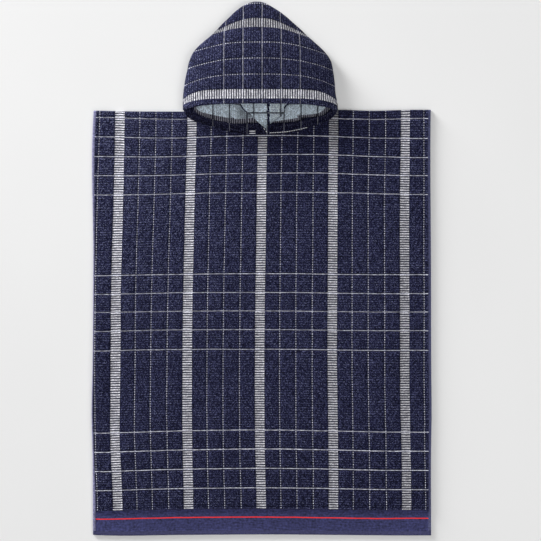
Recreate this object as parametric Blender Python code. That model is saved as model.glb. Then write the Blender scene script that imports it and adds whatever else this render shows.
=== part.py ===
"""Hooded bath poncho, laid flat with its hood up.

Three sewn pieces of terry: a back panel that lies flat, a front panel on the back, and a one-piece hood that
is sewn round the neck scoop and folded so that its crown faces up. Metres, +Z up, +Y to the hood's peak.
The origin is the middle of the whole garment's box, on the surface that it rests on.
"""

import math

import bmesh
import bpy

# Cloth
GAP = 0.0003                 # clear space left at every seam and between layers
TERRY = 0.0030               # looped cloth with its pile
BORDER_CLOTH = 0.0016        # flat-woven border
HEM_CLOTH = 0.0026           # flat-woven cloth, turned and doubled
EDGE_ROUND = 0.0008          # how far a cut edge rounds over
RAMP = 0.0010                # width of the step from one thickness to the next
CREASE = 0.0001              # how far the thinner side's row keeps from that step
SHARP_ANGLE = 40             # degrees; edges that bend more stay sharp in shading

# Body panels
BODY_WIDTH = 0.600
SHOULDER_Y = 0.2805
HEM_Y = -0.4724
BORDER_DEPTH = 0.0470
BOTTOM_HEM = 0.0080
SIDE_HEM = 0.0055
CORNER_CUT = 0.0018
SHOULDER_WRAP = TERRY + GAP  # the front's top edge wraps this far past the back's
PANEL_COLUMNS = 12
PANEL_ROWS = 16

# Neck scoop, half an ellipse below the shoulder line
NECK_X = 0.0060
NECK_HALF_WIDTH = 0.1120
NECK_DEPTH = 0.0415
NECK_STEPS = 28

# Hood
SIDE_FOLD_Z = 0.0065         # height of the middle of the hood's side folds
BROW_Y = 0.2915
BROW_BOW = 0.0030            # how far the brow's corners lie below its middle
BOW_LENGTH = 0.0600          # the bow fades away over this length
PEAK_Y = 0.4735
RIM_DEPTH = 0.0160
RIM_EXTRA = 0.0024           # what the turned brow hem adds to the wall
CAVITY_INSET = 0.0032
FOLD_SQUARENESS = 0.3        # lower makes the side folds' undersides squarer
PEAK_TUCK = 0.25             # share of its width that the peak's last ring draws in from each side
PEAK_HALF_HEIGHT = 0.2       # of the last section's height, above and below its middle
HOLLOW_FOOT_Y = 0.2280       # the hollow runs past the brow to here, over the nape
HOLLOW_TOP_Y = 0.4600
RING_STEPS = 40
CHEEK_TOP = 2 * (TERRY + GAP) + TERRY
PANEL_TOP = 2 * TERRY + GAP
CHEEK_HEM = 0.0140
CHEEK_HEM_SHARE = 0.45       # of the cheek's depth, where it is too shallow for a whole hem
LIP_BULGE = 0.8              # how far the lip's edges draw in, as a share of its roundness
SEAM_X = 0.0115              # the centre-back seam, where the nape shows it
SEAM_LEAN = 0.0140           # how far left of that it ends, under the peak
SEAM_ENDS = (0.2580, 0.4400)
SEAM_WIDTH = 0.0065
SEAM_HEIGHT = 0.0012

# How far the edges wander from a true rectangle: y, left edge, right edge
SIDE_WANDER = (
    (0.281, 0.0022, 0.0000),
    (0.250, 0.0006, -0.0004),
    (0.020, 0.0015, 0.0004),
    (-0.180, 0.0000, 0.0009),
    (-0.262, -0.0015, 0.0015),
    (-0.320, 0.0000, 0.0006),
    (-0.473, 0.0010, 0.0006),
)
# x, bottom edge, top edge
END_WANDER = (
    (-0.300, 0.0000, 0.0000),
    (-0.270, -0.0011, -0.0008),
    (-0.150, -0.0002, -0.0018),
    (0.020, 0.0008, -0.0006),
    (0.150, -0.0002, 0.0010),
    (0.190, -0.0006, -0.0004),
    (0.260, -0.0011, 0.0012),
    (0.300, -0.0009, 0.0014),
)
# Soft swells where the front does not lie tight on the back: x, y, half-width, half-length, height
SWELLS = (
    (-0.205, 0.120, 0.075, 0.150, 0.0014),
    (-0.070, -0.050, 0.060, 0.190, 0.0011),
    (0.110, 0.050, 0.080, 0.130, 0.0015),
    (0.215, -0.180, 0.060, 0.170, 0.0012),
    (-0.180, -0.260, 0.090, 0.110, 0.0013),
    (0.040, -0.300, 0.085, 0.090, 0.0010),
)
# Hood sections from the brow to the peak: y, left side, right side, height of the crown
HOOD_SECTIONS = (
    (0.3065, -0.1391, 0.1318, 0.0380),
    (0.3278, -0.1366, 0.1300, 0.0370),
    (0.3491, -0.1323, 0.1272, 0.0356),
    (0.3704, -0.1273, 0.1219, 0.0340),
    (0.3810, -0.1226, 0.1149, 0.0330),
    (0.3917, -0.1146, 0.1048, 0.0316),
    (0.4023, -0.1030, 0.0931, 0.0298),
    (0.4130, -0.0901, 0.0807, 0.0276),
    (0.4236, -0.0791, 0.0700, 0.0250),
    (0.4343, -0.0693, 0.0580, 0.0222),
    (0.4449, -0.0581, 0.0461, 0.0194),
    (0.4556, -0.0471, 0.0328, 0.0166),
    (0.4627, -0.0383, 0.0221, 0.0142),
    (0.4680, -0.0294, 0.0123, 0.0120),
    (0.4720, -0.0200, 0.0040, 0.0100),
)
# The brow's rounded rim, in the same columns
BROW_SECTIONS = (
    (0.2915, -0.1394, 0.1351, 0.0352),
    (0.2925, -0.1396, 0.1353, 0.0372),
    (0.2950, -0.1396, 0.1345, 0.0382),
)
# Cheeks from the centre front round to under the crown: lip x, lip y, fold x, fold y, height of the lip
LEFT_CHEEK = (
    (0.0095, 0.2394, 0.0095, 0.2447, 0.0104),
    (-0.0063, 0.2403, -0.0010, 0.2488, 0.0106),
    (-0.0233, 0.2422, -0.0091, 0.2575, 0.0110),
    (-0.0405, 0.2438, -0.0183, 0.2648, 0.0115),
    (-0.0569, 0.2458, -0.0274, 0.2715, 0.0120),
    (-0.0887, 0.2525, -0.0400, 0.2825, 0.0128),
    (-0.1163, 0.2610, -0.0525, 0.2950, 0.0134),
    (-0.1305, 0.2686, -0.0631, 0.3047, 0.0138),
    (-0.1376, 0.2790, -0.0755, 0.3145, 0.0140),
    (-0.1372, 0.2922, -0.0871, 0.3225, 0.0120),
    (-0.1306, 0.3100, -0.0951, 0.3296, 0.0100),
)
RIGHT_CHEEK = (
    (0.0098, 0.2394, 0.0098, 0.2447, 0.0104),
    (0.0274, 0.2407, 0.0177, 0.2527, 0.0106),
    (0.0420, 0.2437, 0.0246, 0.2593, 0.0112),
    (0.0610, 0.2472, 0.0320, 0.2680, 0.0118),
    (0.0794, 0.2509, 0.0395, 0.2763, 0.0122),
    (0.1038, 0.2568, 0.0478, 0.2838, 0.0128),
    (0.1188, 0.2628, 0.0576, 0.2932, 0.0134),
    (0.1286, 0.2710, 0.0682, 0.3020, 0.0138),
    (0.1344, 0.2807, 0.0789, 0.3110, 0.0140),
    (0.1344, 0.2932, 0.0896, 0.3190, 0.0120),
    (0.1277, 0.3100, 0.0984, 0.3260, 0.0100),
)

# Finishes: colour, roughness
TERRY_NAVY = ((0.040, 0.040, 0.090, 1.0), 0.95)
HOOD_NAVY = ((0.050, 0.046, 0.105, 1.0), 0.95)
BACK_NAVY = ((0.034, 0.034, 0.078, 1.0), 0.95)


def blend(rows, key, column):
    """Reads one column of a table whose first column runs up or down, between its rows."""
    ordered = sorted(rows)
    if key <= ordered[0][0]:
        return ordered[0][column]
    for low, high in zip(ordered, ordered[1:]):
        if key <= high[0]:
            share = (key - low[0]) / (high[0] - low[0])
            return low[column] + share * (high[column] - low[column])
    return ordered[-1][column]


def wander(x, y):
    """Moves a point of the true rectangle onto the garment's real outline."""
    across = x / BODY_WIDTH + 0.5
    along = (y - HEM_Y) / (SHOULDER_Y - HEM_Y)
    shift_x = (1 - across) * blend(SIDE_WANDER, y, 1) + across * blend(SIDE_WANDER, y, 2)
    shift_y = (1 - along) * blend(END_WANDER, x, 1) + along * blend(END_WANDER, x, 2)
    return x + shift_x, y + shift_y


def thickness(x, y):
    """Thickness of a body panel: doubled hems at its sides and foot, thin border, terry elsewhere."""
    if abs(x) > BODY_WIDTH / 2 - SIDE_HEM or y < HEM_Y + BOTTOM_HEM:
        return HEM_CLOTH
    if y < HEM_Y + BORDER_DEPTH:
        return BORDER_CLOTH
    return TERRY


def swell(x, y):
    """Height of the front panel's soft swells at a point."""
    height = 0.0
    for middle_x, middle_y, half_x, half_y, rise in SWELLS:
        reach = math.hypot((x - middle_x) / half_x, (y - middle_y) / half_y)
        if reach < 1:
            height += rise * math.cos(reach * math.pi / 2) ** 2
    return height


def curve_value(before, start, end, after, share):
    """A value between start and end, on a smooth curve that also passes the two values beyond them."""
    slope = (end - before) / 2
    bend = (2 * before - 5 * start + 4 * end - after) / 2
    twist = (3 * start - 3 * end + after - before) / 2
    return start + share * (slope + share * (bend + share * twist))


def smooth_rows(rows, between):
    """Puts more rows between a table's rows, on a smooth curve through them."""
    made = []
    for number in range(len(rows) - 1):
        before, start, end = rows[max(number - 1, 0)], rows[number], rows[number + 1]
        after = rows[min(number + 2, len(rows) - 1)]
        for step in range(between + 1):
            t = step / (between + 1)
            made.append(tuple(curve_value(*four, t) for four in zip(before, start, end, after)))
    return [*made, rows[-1]]


def steps(start, stop, count):
    """Evenly spaced values, both ends included."""
    return [start + (stop - start) * i / count for i in range(count + 1)]


def panel_columns():
    """Places of a panel's columns, with a pair at each side hem."""
    edge = BODY_WIDTH / 2 - EDGE_ROUND
    hem = BODY_WIDTH / 2 - SIDE_HEM
    inner = steps(-hem + RAMP, hem - RAMP, PANEL_COLUMNS)
    return [-edge, -hem - CREASE, *inner, hem + CREASE, edge]


def panel_rows(top):
    """Places of a panel's rows, with a pair at the foot hem and at the border's top."""
    hem = HEM_Y + BOTTOM_HEM
    border = HEM_Y + BORDER_DEPTH
    inner = steps(border + RAMP, top, PANEL_ROWS)
    return [HEM_Y + EDGE_ROUND, hem - CREASE, hem + RAMP, border - CREASE, *inner]


def new_object(name, mesh_maker, finish, group):
    """Makes a named object from a filled bmesh, with its own material, in a collection."""
    mesh = bpy.data.meshes.new(name)
    built = bmesh.new()
    mesh_maker(built)
    bmesh.ops.recalc_face_normals(built, faces=built.faces)
    built.to_mesh(mesh)
    built.free()
    mesh.shade_smooth()
    mesh.set_sharp_from_angle(angle=math.radians(SHARP_ANGLE))
    item = bpy.data.objects.new(name, mesh)
    group.objects.link(item)
    if finish:
        mesh.materials.append(make_material(name, *finish))
    return item


def make_material(name, colour, roughness):
    """A plain principled material for one sub-part."""
    material = bpy.data.materials.new(name)
    material.use_nodes = True
    shader = material.node_tree.nodes["Principled BSDF"]
    shader.inputs["Base Color"].default_value = colour
    shader.inputs["Roughness"].default_value = roughness
    shader.inputs["Metallic"].default_value = 0.0
    material.diffuse_color = colour
    return material


def bridge(built, lower, upper, closed):
    """Quads between two rows of vertices."""
    count = len(lower) if closed else len(lower) - 1
    for i in range(count):
        j = (i + 1) % len(lower)
        built.faces.new((lower[i], lower[j], upper[j], upper[i]))


def loft(built, rings):
    """Joins closed rings of points into one body, with a flat cap at each end."""
    rows = [[built.verts.new(point) for point in ring] for ring in rings]
    for lower, upper in zip(rows, rows[1:]):
        bridge(built, lower, upper, closed=True)
    built.faces.new(rows[0])
    built.faces.new(rows[-1])


def prism(built, outline, low, high):
    """Extrudes a plan outline between two heights."""
    loft(built, [[(x, y, z) for x, y in outline] for z in (low, high)])


def plate(built, top_points, low_points):
    """Closes a top and an underside, both grids of points, with a rounded edge between them."""
    top = [[built.verts.new(point) for point in row] for row in top_points]
    low = [[built.verts.new(point) for point in row] for row in low_points]
    for sheet in (top, low):
        for first, second in zip(sheet, sheet[1:]):
            bridge(built, first, second, closed=False)

    def rim(sheet):
        return (sheet[0] + [row[-1] for row in sheet[1:-1]] + sheet[-1][::-1]
                + [row[0] for row in sheet[-2:0:-1]])

    upper, lower = rim(top), rim(low)
    middle_x = sum(vertex.co.x for vertex in upper) / len(upper)
    last_column, last_row = len(top[0]) - 1, len(top) - 1
    middle = []
    for index, (above, below) in enumerate(zip(upper, lower)):
        on_end = index <= last_column or last_column + last_row <= index <= 2 * last_column + last_row
        on_side = index % (last_column + last_row) in (0, last_column) or not on_end
        out_x = math.copysign(EDGE_ROUND, above.co.x - middle_x) if on_side else 0.0
        out_y = (-EDGE_ROUND if index <= last_column else EDGE_ROUND) if on_end else 0.0
        level = (above.co + below.co) / 2
        middle.append(built.verts.new((above.co.x + out_x, above.co.y + out_y, level.z)))
    bridge(built, upper, middle, closed=True)
    bridge(built, middle, lower, closed=True)


def panel_point(x, y, z, columns, rows):
    """A grid point on the real outline, with the panel's corners cut round."""
    cut = CORNER_CUT if x in (columns[0], columns[-1]) and y in (rows[0], rows[-1]) else 0.0
    real_x, real_y = wander(x, y)
    return (real_x - math.copysign(cut, x), real_y - math.copysign(cut, y), z)


def back_panel(built):
    """The back: flat on the table, stepped down to its border."""
    columns = panel_columns()
    rows = panel_rows(SHOULDER_Y - SHOULDER_WRAP - EDGE_ROUND)
    top = [[panel_point(x, y, thickness(x, y), columns, rows) for x in columns] for y in rows]
    low = [[(x, y, 0.0) for x, y, _ in row] for row in top]
    plate(built, top, low)


def front_panel(built):
    """The front: lies on the back with soft swells, and wraps down over the back's top edge."""
    columns = panel_columns()
    wrap_y = SHOULDER_Y - TERRY
    rows = [*panel_rows(wrap_y - RAMP), wrap_y, SHOULDER_Y - TERRY / 3, SHOULDER_Y - EDGE_ROUND]
    shoulder_drop = (0.0, TERRY / 6, TERRY / 2)
    top, low = [], []
    for number, y in enumerate(rows):
        past = number - (len(rows) - 3)
        top.append([])
        low.append([])
        for x in columns:
            rest = thickness(x, y) + GAP + swell(x, y)
            height = rest + thickness(x, y)
            if past > 0:
                height -= shoulder_drop[past]
                rest = GAP
            top[-1].append(panel_point(x, y, height, columns, rows))
            under_y = wrap_y + GAP / 3 if past == 1 else y
            low[-1].append(panel_point(x, under_y, rest, columns, rows))
    plate(built, top, low)


def neck_arc(inset):
    """The scoop's curve from its left end to its right end, inset into the neck hole."""
    arc = []
    for angle in steps(math.pi, 2 * math.pi, NECK_STEPS):
        x = NECK_X + (NECK_HALF_WIDTH - inset) * math.cos(angle)
        arc.append((x, SHOULDER_Y + (NECK_DEPTH - inset) * math.sin(angle)))
    return arc


def neck_cutter(built):
    """What the scoop takes out of a body panel."""
    past = SHOULDER_Y + 4 * CORNER_CUT
    arc = neck_arc(0.0)
    outline = [(arc[0][0], past), *arc, (arc[-1][0], past)]
    prism(built, outline, -TERRY, 4 * TERRY)


def panel_top_edge():
    """A line just past the body panels' top edges, which the hood keeps clear of."""
    return SHOULDER_Y + 2 * GAP + max(row[2] for row in END_WANDER)


def panel_room(built):
    """The room that both body panels take, kept clear of the hood."""
    side, foot, top = BODY_WIDTH / 3, HEM_Y / 3, panel_top_edge()
    arc = neck_arc(GAP)
    notch = [(arc[-1][0], top), *arc[::-1], (arc[0][0], top)]
    outline = [(-side, foot), (side, foot), (side, top), *notch, (-side, top)]
    prism(built, outline, -TERRY, PANEL_TOP + GAP)


def hood_ring(y, left, right, height, low, fold, bow):
    """One section of the hood: an arched crown over a nearly flat underside."""
    middle, half_width = (left + right) / 2, (right - left) / 2
    ring = []
    for step in range(RING_STEPS):
        angle = 2 * math.pi * step / RING_STEPS
        across, up = math.cos(angle), math.sin(angle)
        if up >= 0:
            z = fold + (height - fold) * up
        else:
            z = fold - (fold - low) * abs(up) ** FOLD_SQUARENESS
        ring.append((middle + half_width * across, y - bow * across * across, z))
    return ring


def hood_shell(built):
    """The hood's outer form, from the brow to the closed peak."""
    rings = []
    for y, left, right, height in (*BROW_SECTIONS, *smooth_rows(HOOD_SECTIONS, 1)):
        fold = min(SIDE_FOLD_Z, height / 2)
        bow = BROW_BOW * max(0.0, 1 - (y - BROW_Y) / BOW_LENGTH)
        rings.append(hood_ring(y, left, right, height, TERRY / 4, fold, bow))
    _, left, right, height = HOOD_SECTIONS[-1]
    tuck = PEAK_TUCK * (right - left)
    middle, half = height / 2, PEAK_HALF_HEIGHT * height
    rings.append(hood_ring(PEAK_Y, left + tuck, right - tuck, middle + half, middle - half, middle, 0.0))
    loft(built, rings)


def hood_hollow(built):
    """The room inside the hood, lower under the brow's thick hem, open past the brow."""
    _, left, right, height = BROW_SECTIONS[-1]
    sides = (left + CAVITY_INSET, right - CAVITY_INSET)
    roof = height - TERRY - RIM_EXTRA
    fold = SIDE_FOLD_Z - TERRY / 2
    lifted = roof + TERRY / 3
    rings = []
    for y, ceiling in ((HOLLOW_FOOT_Y, lifted), (BROW_Y, lifted), (BROW_Y + TERRY, roof)):
        rings.append(hood_ring(y, *sides, ceiling, TERRY, fold, 0.0))
    for y, left, right, height in smooth_rows(HOOD_SECTIONS, 1):
        if y < HOLLOW_TOP_Y:
            ceiling = height - TERRY - (RIM_EXTRA if y < BROW_Y + RIM_DEPTH else 0.0)
            rings.append(hood_ring(y, left + CAVITY_INSET, right - CAVITY_INSET, ceiling, TERRY, fold, 0.0))
    loft(built, rings)


def hood_floor(built):
    """The nape and the hood's underside: one flat layer in the back's scoop and up to the peak."""
    top = panel_top_edge()
    arc = neck_arc(GAP)
    inset = 2 * TERRY
    rows = [row for row in smooth_rows(HOOD_SECTIONS, 1) if row[0] < HOLLOW_TOP_Y]
    right = [(row[2] - inset, row[0]) for row in rows]
    left = [(row[1] + inset, row[0]) for row in rows[::-1]]
    corners = [(arc[-1][0], top), (right[0][0], top), (left[-1][0], top), (arc[0][0], top)]
    prism(built, [*arc, *corners[:2], *right, *left, *corners[2:]], 0.0, TERRY + GAP / 2)


def cheek(rows):
    """A maker for one cheek: cloth folded at the neck, laid over the front, with a turned hem at its lip."""
    bottom = TERRY / 2
    top = CHEEK_TOP

    def make(built):
        rings = []
        for lip_x, lip_y, fold_x, fold_y, lip_z in smooth_rows(rows, 1):
            length = math.hypot(fold_x - lip_x, fold_y - lip_y)
            hem = min(CHEEK_HEM, CHEEK_HEM_SHARE * length)
            bulge = min(TERRY / 2, hem / 2)
            edge = LIP_BULGE * bulge
            profile = (
                (edge, bottom),
                (edge, PANEL_TOP + GAP),
                (0.0, (PANEL_TOP + lip_z) / 2),
                (edge, lip_z - TERRY / 4),
                (hem / 2, lip_z),
                (hem - edge, lip_z - TERRY / 5),
                (hem, top),
                (length - 2 * edge, top),
                (length - edge / 2, top - TERRY / 3),
                (length, (top + TERRY) / 2),
                (length - edge / 4, bottom),
            )
            ring = []
            for distance, z in profile:
                share = distance / length
                ring.append((lip_x + share * (fold_x - lip_x), lip_y + share * (fold_y - lip_y), z))
            rings.append(ring)
        loft(built, rings)

    return make


def back_seam(built):
    """The centre-back seam's turned allowances, a low ridge inside the hood."""
    low, high = SEAM_ENDS
    lean = SEAM_X - SEAM_LEAN
    outline = [(SEAM_X, low), (SEAM_X + SEAM_WIDTH, low), (lean + SEAM_WIDTH, high), (lean, high)]
    prism(built, outline, TERRY / 3, TERRY + SEAM_HEIGHT)


def combine(target, other, operation):
    """Adds an exact Boolean between an object and another, or all of a collection at once."""
    modifier = target.modifiers.new(other.name, "BOOLEAN")
    modifier.operation = operation
    modifier.solver = "EXACT"
    if isinstance(other, bpy.types.Collection):
        modifier.operand_type = "COLLECTION"
        modifier.collection = other
    else:
        modifier.object = other


def tool_object(name, mesh_maker, group):
    """A helper that shapes other pieces and is not part of the garment."""
    item = new_object(name, mesh_maker, None, group)
    item.hide_render = True
    item.display_type = "WIRE"
    return item


def build_poncho():
    """Builds the three sewn pieces."""
    for item in list(bpy.data.objects):
        bpy.data.objects.remove(item, do_unlink=True)
    garment = bpy.data.collections.new("hooded_bath_poncho")
    helpers = bpy.data.collections.new("cutters")
    inner_layers = bpy.data.collections.new("inner_layers")
    for group in (garment, helpers, inner_layers):
        bpy.context.scene.collection.children.link(group)

    scoop = tool_object("cut_neck", neck_cutter, helpers)
    back = new_object("body_back", back_panel, BACK_NAVY, garment)
    combine(back, scoop, "DIFFERENCE")
    front = new_object("body_front", front_panel, TERRY_NAVY, garment)
    combine(front, scoop, "DIFFERENCE")

    hood = new_object("hood", hood_shell, HOOD_NAVY, garment)
    combine(hood, tool_object("add_floor", hood_floor, helpers), "UNION")
    combine(hood, tool_object("cut_hollow", hood_hollow, helpers), "DIFFERENCE")
    tool_object("add_back_seam", back_seam, inner_layers)
    tool_object("add_left_cheek", cheek(LEFT_CHEEK), inner_layers)
    tool_object("add_right_cheek", cheek(RIGHT_CHEEK), inner_layers)
    combine(hood, inner_layers, "UNION")
    combine(hood, tool_object("cut_panel_room", panel_room, helpers), "DIFFERENCE")


build_poncho()
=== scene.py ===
"""Hooded bath poncho, laid flat with its hood up: cloth, sewing, floor and light.

The garment is three sewn pieces of windowpane terry. The front lies on the back, both with a flat-woven
border at the foot, and the hood is folded so that its crown faces up over the neck. Everything is in
metres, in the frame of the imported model: +Z up, +Y towards the hood's peak.
"""

import logging
import math
from dataclasses import dataclass, field
from enum import Enum, IntEnum
from typing import Callable, Sequence

import bmesh
import bpy
import numpy as np
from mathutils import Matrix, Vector
from mathutils.bvhtree import BVHTree


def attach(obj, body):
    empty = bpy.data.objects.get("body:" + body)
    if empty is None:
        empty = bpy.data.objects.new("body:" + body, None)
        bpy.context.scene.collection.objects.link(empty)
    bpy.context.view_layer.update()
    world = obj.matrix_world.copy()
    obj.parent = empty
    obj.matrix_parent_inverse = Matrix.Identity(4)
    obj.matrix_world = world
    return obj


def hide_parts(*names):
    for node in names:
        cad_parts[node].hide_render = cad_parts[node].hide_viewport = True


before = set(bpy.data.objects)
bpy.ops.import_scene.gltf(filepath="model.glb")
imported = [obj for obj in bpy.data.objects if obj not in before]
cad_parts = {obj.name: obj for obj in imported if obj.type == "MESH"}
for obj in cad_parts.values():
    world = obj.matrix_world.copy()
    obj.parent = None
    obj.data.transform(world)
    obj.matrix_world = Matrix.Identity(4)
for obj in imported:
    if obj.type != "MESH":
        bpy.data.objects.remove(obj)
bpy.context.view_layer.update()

LOG = logging.getLogger("hooded_bath_poncho")
MM = 0.001
PER_MM = 1 / MM
TINY = 1e-9
BODY = "root"
CLOTH_MAP = "cloth"
LINE_EDGES = (-1.6 * MM, -0.5 * MM, 0.5 * MM, 1.6 * MM)

Pair = tuple[float, float]
Triple = tuple[float, float, float]
Series = tuple[float, ...]
Colour = Triple
Rows = Sequence[Sequence[float]]

# -------------------- Curves and ripples --------------------


def smooth_curve(rows: Rows, column: int, at: np.ndarray) -> np.ndarray:
    """Reads one column of a table on a smooth curve through its rows.

    Args:
        rows: Rows whose first column runs steadily up or down.
        column: The column to read.
        at: Places along the first column.

    Returns:
        The column's value at each place, held level past the table's ends.
    """
    table = np.array(sorted(tuple(row) for row in rows))
    keys, values = table[:, 0], table[:, column]
    slopes = np.gradient(values, keys)
    place = np.clip(at, keys[0], keys[-1])
    index = np.clip(np.searchsorted(keys, place, side="right") - 1, 0, len(keys) - 2)
    span = keys[index + 1] - keys[index]
    share = (place - keys[index]) / span
    rise = values[index + 1] - values[index]
    start, end = slopes[index] * span, slopes[index + 1] * span
    bend = 3 * rise - 2 * start - end + share * (start + end - 2 * rise)
    return values[index] + share * (start + share * bend)


def smooth_step(low: float, high: float, value: np.ndarray) -> np.ndarray:
    """Rises softly from 0 at low to 1 at high, or falls if low is the larger."""
    share = np.clip((value - low) / (high - low), 0.0, 1.0)
    return share * share * (3 - 2 * share)


def arc(value: np.ndarray) -> np.ndarray:
    """Rises on a quarter circle from 0 at 0 to 1 at 1, and stays there."""
    return np.sqrt(np.clip(1 - (1 - np.minimum(value, 1)) ** 2, 0, 1))


def wrapped(value: np.ndarray, period: float) -> np.ndarray:
    """Folds a value into plus or minus half a period."""
    return (value + period / 2) % period - period / 2


def filled_stations(wanted: Sequence[float], spacing: float, least: float = 0.2 * MM) -> list[float]:
    """Puts evenly spaced places into the gaps between the wanted ones.

    Args:
        wanted: Places that must be kept.
        spacing: The largest gap left between two places.
        least: Places nearer than this to the one before are left out.

    Returns:
        All the places in order.
    """
    rounding = 0.001
    ordered = sorted(wanted)
    kept = [ordered[0]]
    for place in ordered[1:]:
        gap = place - kept[-1]
        if gap >= least:
            parts = max(1, math.ceil(gap / spacing - rounding))
            kept += [kept[-1] + gap * step / parts for step in range(1, parts)]
            kept.append(place)
    return kept


def soft_ripple(across: np.ndarray, along: np.ndarray, length: float, turn: float,
                waves: int = 5) -> np.ndarray:
    """An uneven, repeatable ripple between about -1 and 1.

    Args:
        across: Places across the cloth.
        along: Places along the cloth.
        length: The usual length of one ripple.
        turn: Any number; another number gives another pattern.
        waves: How many plain waves it is made of.

    Returns:
        The ripple's height at each place.
    """
    heading_step, reach_start, reach_step, phase_step, gain = 1.9, 0.7, 0.37, 3.1, 1.6
    total = np.zeros(np.broadcast(across, along).shape)
    for number in range(waves):
        heading = turn + number * heading_step
        reach = length * (reach_start + reach_step * number)
        phase = (across * math.cos(heading) + along * math.sin(heading)) / reach
        total = total + np.sin(2 * math.pi * phase + heading * phase_step) / waves
    return total * gain


def crease_height(rows: Rows, x: np.ndarray, y: np.ndarray, bend: Pair, start: Pair,
                  stop: Pair) -> np.ndarray:
    """Height of soft creases that run along bent lines.

    Args:
        rows: For each crease its start x and y, end x and y, half-width and height (a trough is below 0).
        x: Places across.
        y: Places along.
        bend: How far a line bends, as a share of its half-width, and how fast it turns along its length.
        start: Shares of its length between which a crease rises.
        stop: Shares between which it fades away, the larger first.

    Returns:
        The height at each place.
    """
    height = np.zeros(np.broadcast(x, y).shape)
    for start_x, start_y, end_x, end_y, half, rise in rows:
        run_x, run_y = end_x - start_x, end_y - start_y
        long = math.hypot(run_x, run_y)
        share = ((x - start_x) * run_x + (y - start_y) * run_y) / long ** 2
        bow = bend[0] * half * np.sin(bend[1] * share)
        away = ((x - start_x) * run_y - (y - start_y) * run_x) / long + bow
        fade = smooth_step(*start, share) * smooth_step(*stop, share)
        height += rise * fade * np.exp(-(away / half) ** 2)
    return height


def run_lengths(points: np.ndarray) -> np.ndarray:
    """Distance of each point from the first one, along the line through them."""
    return np.concatenate([[0], np.cumsum(np.linalg.norm(np.diff(points, axis=0), axis=1))])


@dataclass(frozen=True)
class Windowpane:
    """Sizes of the woven check on the flat cloth.

    Ribbed bands run one way, with three thin dashed lines between each two. Groups of five thin solid lines
    run the other way.
    """

    band_pitch: float = 127.0 * MM
    band_width: float = 16.0 * MM
    thin_offset: float = 34.9 * MM
    rib_pitch: float = 4.34 * MM
    solid_pitch: float = 34.0 * MM
    solid_repeat: float = 280.0 * MM
    solid_reach: int = 2
    groove_edge: Pair = (1.7 * MM, 0.5 * MM)
    groove_depth: float = 0.95 * MM
    dash_share: Pair = (0.75, 0.25)
    swell_edge: Pair = (1.0 * MM, 11.0 * MM)
    swell_height: float = 0.28 * MM
    pile_rib: float = 0.10 * MM
    pile_drop: float = 0.20 * MM
    band_edge: float = 0.5 * MM
    band_rib: float = 0.30 * MM
    band_drop: float = 0.75 * MM
    band_steps: Pair = (-0.7 * MM, 0.9 * MM)

    def stations(self, numbers: Sequence[int], phase: float = 0.0,
                 inside: Sequence[float] = ()) -> list[float]:
        """Places across that keep the edges of some bands and of the dashed lines after each.

        Args:
            numbers: The bands, 0 for the one at the phase.
            phase: Where the middle of that band is.
            inside: Further places that a band keeps, from its middle.

        Returns:
            The places, in no order.
        """
        half = self.band_width / 2
        edges = [side * (half + step) for side in (-1, 1) for step in (*self.band_steps, 0.0)]
        lines = (self.thin_offset, self.band_pitch / 2, self.band_pitch - self.thin_offset)
        edges += [*inside, *(line + edge for line in lines for edge in LINE_EDGES)]
        return [phase + number * self.band_pitch + edge for number in numbers for edge in edges]

    def relief(self, across: np.ndarray, along: np.ndarray) -> np.ndarray:
        """Height of the surface over plain pile: ribs, sunken bands and lines, and swelling panes.

        Args:
            across: Place across the bands, 0 in the middle of one.
            along: Place along the bands, 0 at the middle of a group of solid lines.

        Returns:
            Height in metres, mostly below 0.
        """
        half = self.band_width / 2
        from_band = np.abs(wrapped(across, self.band_pitch))
        thin = np.minimum(np.abs(from_band - self.thin_offset), self.band_pitch / 2 - from_band)
        from_group = np.abs(wrapped(along, self.solid_repeat))
        lines = [np.abs(from_group - number * self.solid_pitch) for number in range(self.solid_reach + 1)]
        solid = np.min(lines, axis=0)
        in_band = smooth_step(half + self.band_edge, half - self.band_edge, from_band)
        rib = np.cos(2 * math.pi * along / self.rib_pitch)
        dash = self.dash_share[0] - self.dash_share[1] * rib
        thin_groove, solid_groove = (smooth_step(*self.groove_edge, away) for away in (thin, solid))
        groove = np.maximum(thin_groove * dash, solid_groove)
        pillow = np.minimum(np.minimum(thin, solid), np.maximum(from_band - half, 0.0))
        pane = (self.swell_height * smooth_step(*self.swell_edge, pillow) + self.pile_rib * rib
                - self.groove_depth * groove - self.pile_drop)
        return pane * (1 - in_band) + in_band * (self.band_rib * rib - self.band_drop)


PANE = Windowpane()
BODY_SOLID_PHASE = 201.0 * MM
HOOD_BAND_PHASE = 17.4 * MM

# -------------------- Shader nodes --------------------


def arithmetic(kind: str, swapped: bool = False) -> Callable[["Wire", object], "Wire"]:
    """An operator of Wire that adds a Math node."""
    return lambda wire, other: wire.sketch.math(kind, *((other, wire) if swapped else (wire, other)))


class Wire:
    """A value in a node tree that can be reckoned with like a number."""

    __add__ = __radd__ = arithmetic("ADD")
    __mul__ = __rmul__ = arithmetic("MULTIPLY")
    __sub__, __rsub__ = arithmetic("SUBTRACT"), arithmetic("SUBTRACT", swapped=True)
    __truediv__, __rtruediv__ = arithmetic("DIVIDE"), arithmetic("DIVIDE", swapped=True)

    def __init__(self, sketch: "NodeSketch", socket: bpy.types.NodeSocket) -> None:
        """Keeps the tree's sketch and the socket that gives the value."""
        self.sketch, self.socket = sketch, socket


Value = Wire | float


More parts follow.
